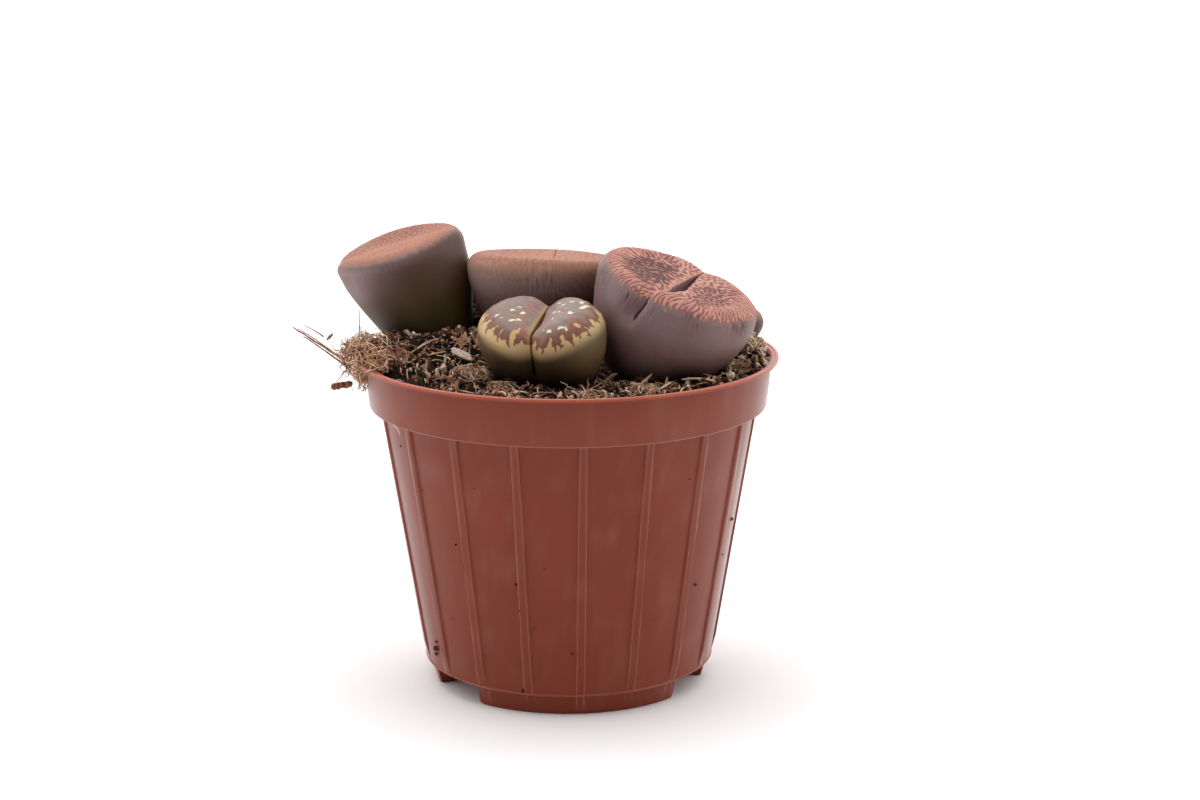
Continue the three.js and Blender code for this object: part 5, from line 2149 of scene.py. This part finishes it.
    def grains(self, random: Draws) -> Shape:
        """The pellet on its thread, the seed-like spike and a few crumbs in the tangle.

        Args:
            random: the source of the draws.

        Returns:
            The grains.
        """
        spot = np.linspace(-1, 1, 13)[:, None]
        rod = np.array(self.pellet) + spot * [1.0, 0.0, 0.13] + random.normal(0, 0.06, (13, 3))
        rod_sizes = np.repeat([[0.42, 0.42, 0.46]], 13, axis=0) * random.uniform(0.88, 1.12, (13, 1))
        x0, z0, x1, z1 = self.spike
        share = np.linspace(0, 1, 9)[:, None]
        spike = np.array([x0, self.depth, z0]) + share * [x1 - x0, 0.0, z1 - z0]
        spike_sizes = 0.05 + 0.21 * np.exp(-(((share - 0.25) / 0.25) ** 2)) * np.ones((9, 3))
        count = self.crumb_count
        spread = np.clip(random.normal(0, 1, (count, 3)), -1.4, 1.4) * [1.7, 2.8, 1.0]
        crumbs = np.array([self.crumb_middle[0], self.depth, self.crumb_middle[1]]) + spread
        crumb_sizes = random.uniform(0.12, 0.38, (count, 1)) * random.uniform(0.6, 1.2, (count, 3))
        tints = np.concatenate([random.uniform(0.28, 0.42, 13), random.uniform(0.3, 0.5, 9),
                                random.uniform(0.0, 0.45, count)])
        return lumps(random, np.concatenate([rod, spike, crumbs]),
                     np.concatenate([rod_sizes, spike_sizes, crumb_sizes]), 2, tints)

    def build(self) -> list[Piece]:
        """Builds the tangle, the loose threads, the straws and the grains.

        Returns:
            The pieces.
        """
        random = np.random.default_rng(self.seed)
        fibre = ROOT_FIBRE.material()
        tangle = Shape.joined([*[clump.build(random) for clump in self.clumps], self.loose_threads(random)])
        pieces = [tangle.to_object("root_tangle", fibre),
                  self.straw_bundle(random).to_object("root_straws", fibre),
                  self.grains(random).to_object("root_grains", fibre)]
        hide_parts("root_fibre_tuft")
        for piece in pieces:
            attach(piece, BODY)
        return pieces


@dataclass
class WoodChip:
    """The pale flake of split wood on the mix."""

    shift: Triple = (0.75, 0.0, 0.1)
    length: float = 3.6
    width: float = 1.3
    thickness: float = 0.3
    turn: float = -26.0
    tilt: float = 24.0
    dip: float = 17.0
    seed: int = 3

    GRID = (25, 13)

    def build(self) -> Piece:
        """Builds the flake with split ends and a ridged face.

        Returns:
            The piece.
        """
        random = np.random.default_rng(self.seed)
        rows, columns = self.GRID
        low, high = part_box("wood_chip")
        middle = (np.array(low) + np.array(high)) / 2 / MM - [AXIS_X, 0, 0] + self.shift
        along, across = np.meshgrid(np.linspace(-1, 1, rows), np.linspace(-1, 1, columns), indexing="ij")
        end = 1 - 0.35 * (across > 0) * (along > 0) - 0.2 * (across < 0) * (along < 0)
        x = along * self.length / 2 * end + 0.06 * random.normal(size=along.shape)
        y = across * self.width / 2 * (1 - 0.35 * np.abs(along) ** 3)
        ridge = 0.05 * np.cos(across * 14) + 0.03 * random.normal(size=along.shape)
        rim = 1 - np.maximum(np.abs(along), np.abs(across)) ** 8
        top = self.thickness / 2 * rim + ridge * rim
        sheet = np.stack([x, y, top], axis=-1).reshape(-1, 3)
        under = np.stack([x, y, -self.thickness / 2 * rim], axis=-1).reshape(-1, 3)
        turned = rotation(0, 1, self.turn) @ rotation(2, 0, self.dip) @ rotation(1, 2, self.tilt)
        points = np.concatenate([sheet, under]) @ turned.T + middle
        grid = np.arange(rows * columns).reshape(rows, columns)
        corners = [grid[:-1, :-1], grid[1:, :-1], grid[1:, 1:], grid[:-1, 1:]]
        quads = np.stack(corners, axis=-1).reshape(-1, 4)
        faces = [quads, quads[:, ::-1] + rows * columns]
        tint = np.clip(0.5 + 0.3 * np.cos(across * 14).ravel(), 0, 1)
        made = Shape(points, faces, {"tint": np.concatenate([tint, tint])}).to_object(
            "pale_chip", PALE_WOOD.material())
        weld = made.modifiers.new("weld", "WELD")
        weld.merge_threshold = 0.002 * MM
        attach(made, BODY)
        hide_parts("wood_chip")
        return made


@dataclass
class Studio:
    """A white light tent that is open towards the camera, its floor and the camera."""

    focal_mm: float = 75.0
    sensor_mm: float = 36.0
    camera_place: Triple = (0.0, -320.08, 110.66)
    camera_pitch: float = 0.226
    camera_yaw: float = 0.013
    floor_half: float = 6000.0
    tent: float = 1.8
    tent_front: float = 0.16
    top_watts: float = 0.5

    def add_camera(self) -> None:
        """Sets the camera at the photograph's viewing angle."""
        data = bpy.data.cameras.new("camera")
        data.lens = self.focal_mm
        data.sensor_width = self.sensor_mm
        data.clip_start = 0.01
        data.clip_end = 50.0
        camera = bpy.data.objects.new("camera", data)
        x, y, z = self.camera_place
        camera.location = ((x + AXIS_X) * MM, y * MM, z * MM)
        camera.rotation_euler = (math.pi / 2 - self.camera_pitch, 0.0, -self.camera_yaw)
        bpy.context.scene.collection.objects.link(camera)
        bpy.context.scene.camera = camera

    def add_floor(self) -> None:
        """Lays the pale floor."""
        finish = Finish("matt white board", "f4f3f3", (Speckle(40.0, 0.99, 1.01),), 0.9, 1.45, 1.0, 0.01)
        grid = bmesh.new()
        bmesh.ops.create_grid(grid, x_segments=24, y_segments=24, size=self.floor_half * MM)
        mesh = bpy.data.meshes.new("floor")
        grid.to_mesh(mesh)
        grid.free()
        mesh.materials.append(finish.material())
        floor = bpy.data.objects.new("floor", mesh)
        bpy.context.scene.collection.objects.link(floor)

    def add_tent(self) -> None:
        """Lights the scene evenly from behind, above and both sides, and less from the front."""
        world = bpy.data.worlds.new("light_tent")
        bpy.context.scene.world = world
        world.use_nodes = True
        tree = world.node_tree
        background = tree.nodes["Background"]
        background.inputs["Color"].default_value = (1.0, 1.0, 1.0, 1.0)
        place = add_node(tree, "ShaderNodeTexCoord")
        parts = add_node(tree, "ShaderNodeSeparateXYZ", links={0: place.outputs["Generated"]})
        level = add_node(tree, "ShaderNodeMapRange",
                         {"interpolation_type": "SMOOTHSTEP", "From Min": -0.95, "From Max": 0.05,
                          "To Min": self.tent_front, "To Max": self.tent},
                         {"Value": parts.outputs["Y"]})
        tree.links.new(level.outputs[0], background.inputs["Strength"])

    def add_lamp(self, name: str, place: Triple, aim: Triple, size: float, watts: float) -> None:
        """Hangs one soft box.

        Args:
            name: the lamp's name.
            place: its middle, in millimetres.
            aim: where it points.
            size: its side.
            watts: its power.
        """
        data = bpy.data.lights.new(name, "AREA")
        data.energy = watts
        data.size = size * MM
        lamp = bpy.data.objects.new(name, data)
        lamp.location = Vector(place) * MM
        lamp.rotation_euler = (Vector(place) - Vector(aim)).to_track_quat("Z", "Y").to_euler()
        bpy.context.scene.collection.objects.link(lamp)

    def build(self) -> None:
        """Builds the camera, the floor and the light."""
        self.add_camera()
        self.add_floor()
        self.add_tent()
        self.add_lamp("top_box", (-60, 60, 520), (AXIS_X, 0, 40), 360, self.top_watts)
        bpy.context.scene.view_settings.view_transform = "Standard"


def leaf_pairs() -> list[LeafPair]:
    """The five leaf pairs, at their places in the pot.

    Returns:
        The pairs, from the back left to the small one at the right.
    """
    return [
        LeafPair("lithops_back_left", (-18.4, 8.2, 43.8), (-23.1, 12.8, 56.4), (-17, 7), 86, 9.0, 9.6,
                 0.63, 1.3, 1.9, (1.0, 0.0), 0.35, Cleft(4.2, 0.14, 2.0, 2.0, 0.5, offset=1.4, bow=-0.9), 11,
                 pattern=Pattern.SHADED_NET, coverage_middle=0.5, coverage_rim=0.56, olive=1.0,
                 olive_shade_at=-16.5, olive_shade_top=0.95, olive_shade_reach=10.5, brown=0.95, wrinkles=0.006,
                 radial=0.25, smooth_lobe=0.9, rim_pitch=0.66, middle_pitch=0.76, net_height=0.04,
                 soft_edge=0.4, rows=80),
        LeafPair("lithops_back_middle", (-2.5, 7.6, 43.2), (-2.7, 6.6, 55.4), (2.5, -3), 2, 7.4, 10.7,
                 0.67, 1.7, 2.0, (0.2, 0.2), 0, Cleft(0.6, 0.0, -3.0, 0, 0.0, offset=1.0), 23,
                 pattern=Pattern.SHADED_NET, coverage_rim=0.8, coverage_middle=0.6, wrinkles=0.04, wash=1.0,
                 wash_reach=4.6, soft_edge=0.8, brown=0.4, olive=0.65, olive_shade_at=5.5, olive_shade_top=0.8,
                 shade_from=0.95, net_height=0.06, columns=100, rows=50),
        LeafPair("lithops_right", (11.8, -6.9, 41.6), (14.6, -4.7, 54.35), (19.3, 9), 29, 9.9, 11.0,
                 0.58, 2.1, 2.2, (0.6, 0.5), 0,
                 Cleft(5, 0.2, 2.6, 2, 0.75, side_shift=-0.5, front_rise=2.0, flanks=(1.7, 0.6),
                       lip_lift=0.85,
                       path=((-10.0, -0.5, 0.07), (-8.9, -0.5, 0.07), (-8.4, -0.1, 0.34), (-7.9, 0.65, 0.6),
                             (-7.3, 1.3, 0.7), (-6.0, 1.6, 0.85), (-3.5, 1.35, 0.85), (1.8, 0.4, 0.55),
                             (5.2, -0.25, 0.22), (7.6, -0.5, 0.08), (10.0, -0.5, 0.06))), 37,
                 columns=196, rows=94, wrinkles=0.06, narrowed=0.965, wash=0.3, wash_reach=1.2,
                 coverage_middle=0.17, shade_from=0.5, coverage_rim=0.56, rim_pitch=0.62, middle_pitch=1.1,
                 hollow_from=0.12, hollow_place=(-1.5, 0.38, 0.6), edge_shift=(0.0, 0.25, -0.3)),
        LeafPair("lithops_front_small", (-2.8, -12.2, 41.6), (-3.5, -12.6, 51.6), (-5, 14), 15, 6.4, 8.2,
                 0.6, 2.4, 2.8, (-0.3, -0.3), 0,
                 Cleft(4.2, 0.1, 9, 3, 1.35, offset=-0.1, opening=0.45, opening_at=-1.5, opening_reach=3.2),
                 41, valley_share=0.13, pattern=Pattern.WINDOWS, columns=166, rows=85, olive=0.95,
                 olive_shade_at=-5.7, olive_shade_top=1.05),
        LeafPair("lithops_right_small", (20.3, 7.4, 42.6), (21.6, 7.4, 48.45), (10, 0), 15, 4.5, 5.0,
                 0.66, 2.0, 2.3, (0.0, 0.0), 0, Cleft(2.6, 0.2, 2, 2, 0.4), 53, pattern=Pattern.SHADED_NET,
                 brown=1.0, olive_shade_at=21.4, columns=70, rows=36, side_rings=20),
    ]


def main() -> None:
    """Builds the pot, the mix, the leaf pairs and the scraps, and logs each piece."""
    logging.basicConfig(level=logging.INFO, format="%(name)s: %(message)s")
    Studio().build()
    plants = leaf_pairs()
    pot = NurseryPot()
    pieces = [pot.build(), *PottingMix(plants).build(pot), *[plant.build() for plant in plants],
              *RootTuft().build(), WoodChip().build()]
    for piece in pieces:
        LOG.info("%s: %d points, %d faces", piece.name, len(piece.data.vertices), len(piece.data.polygons))


if __name__ == "__main__":
    main()
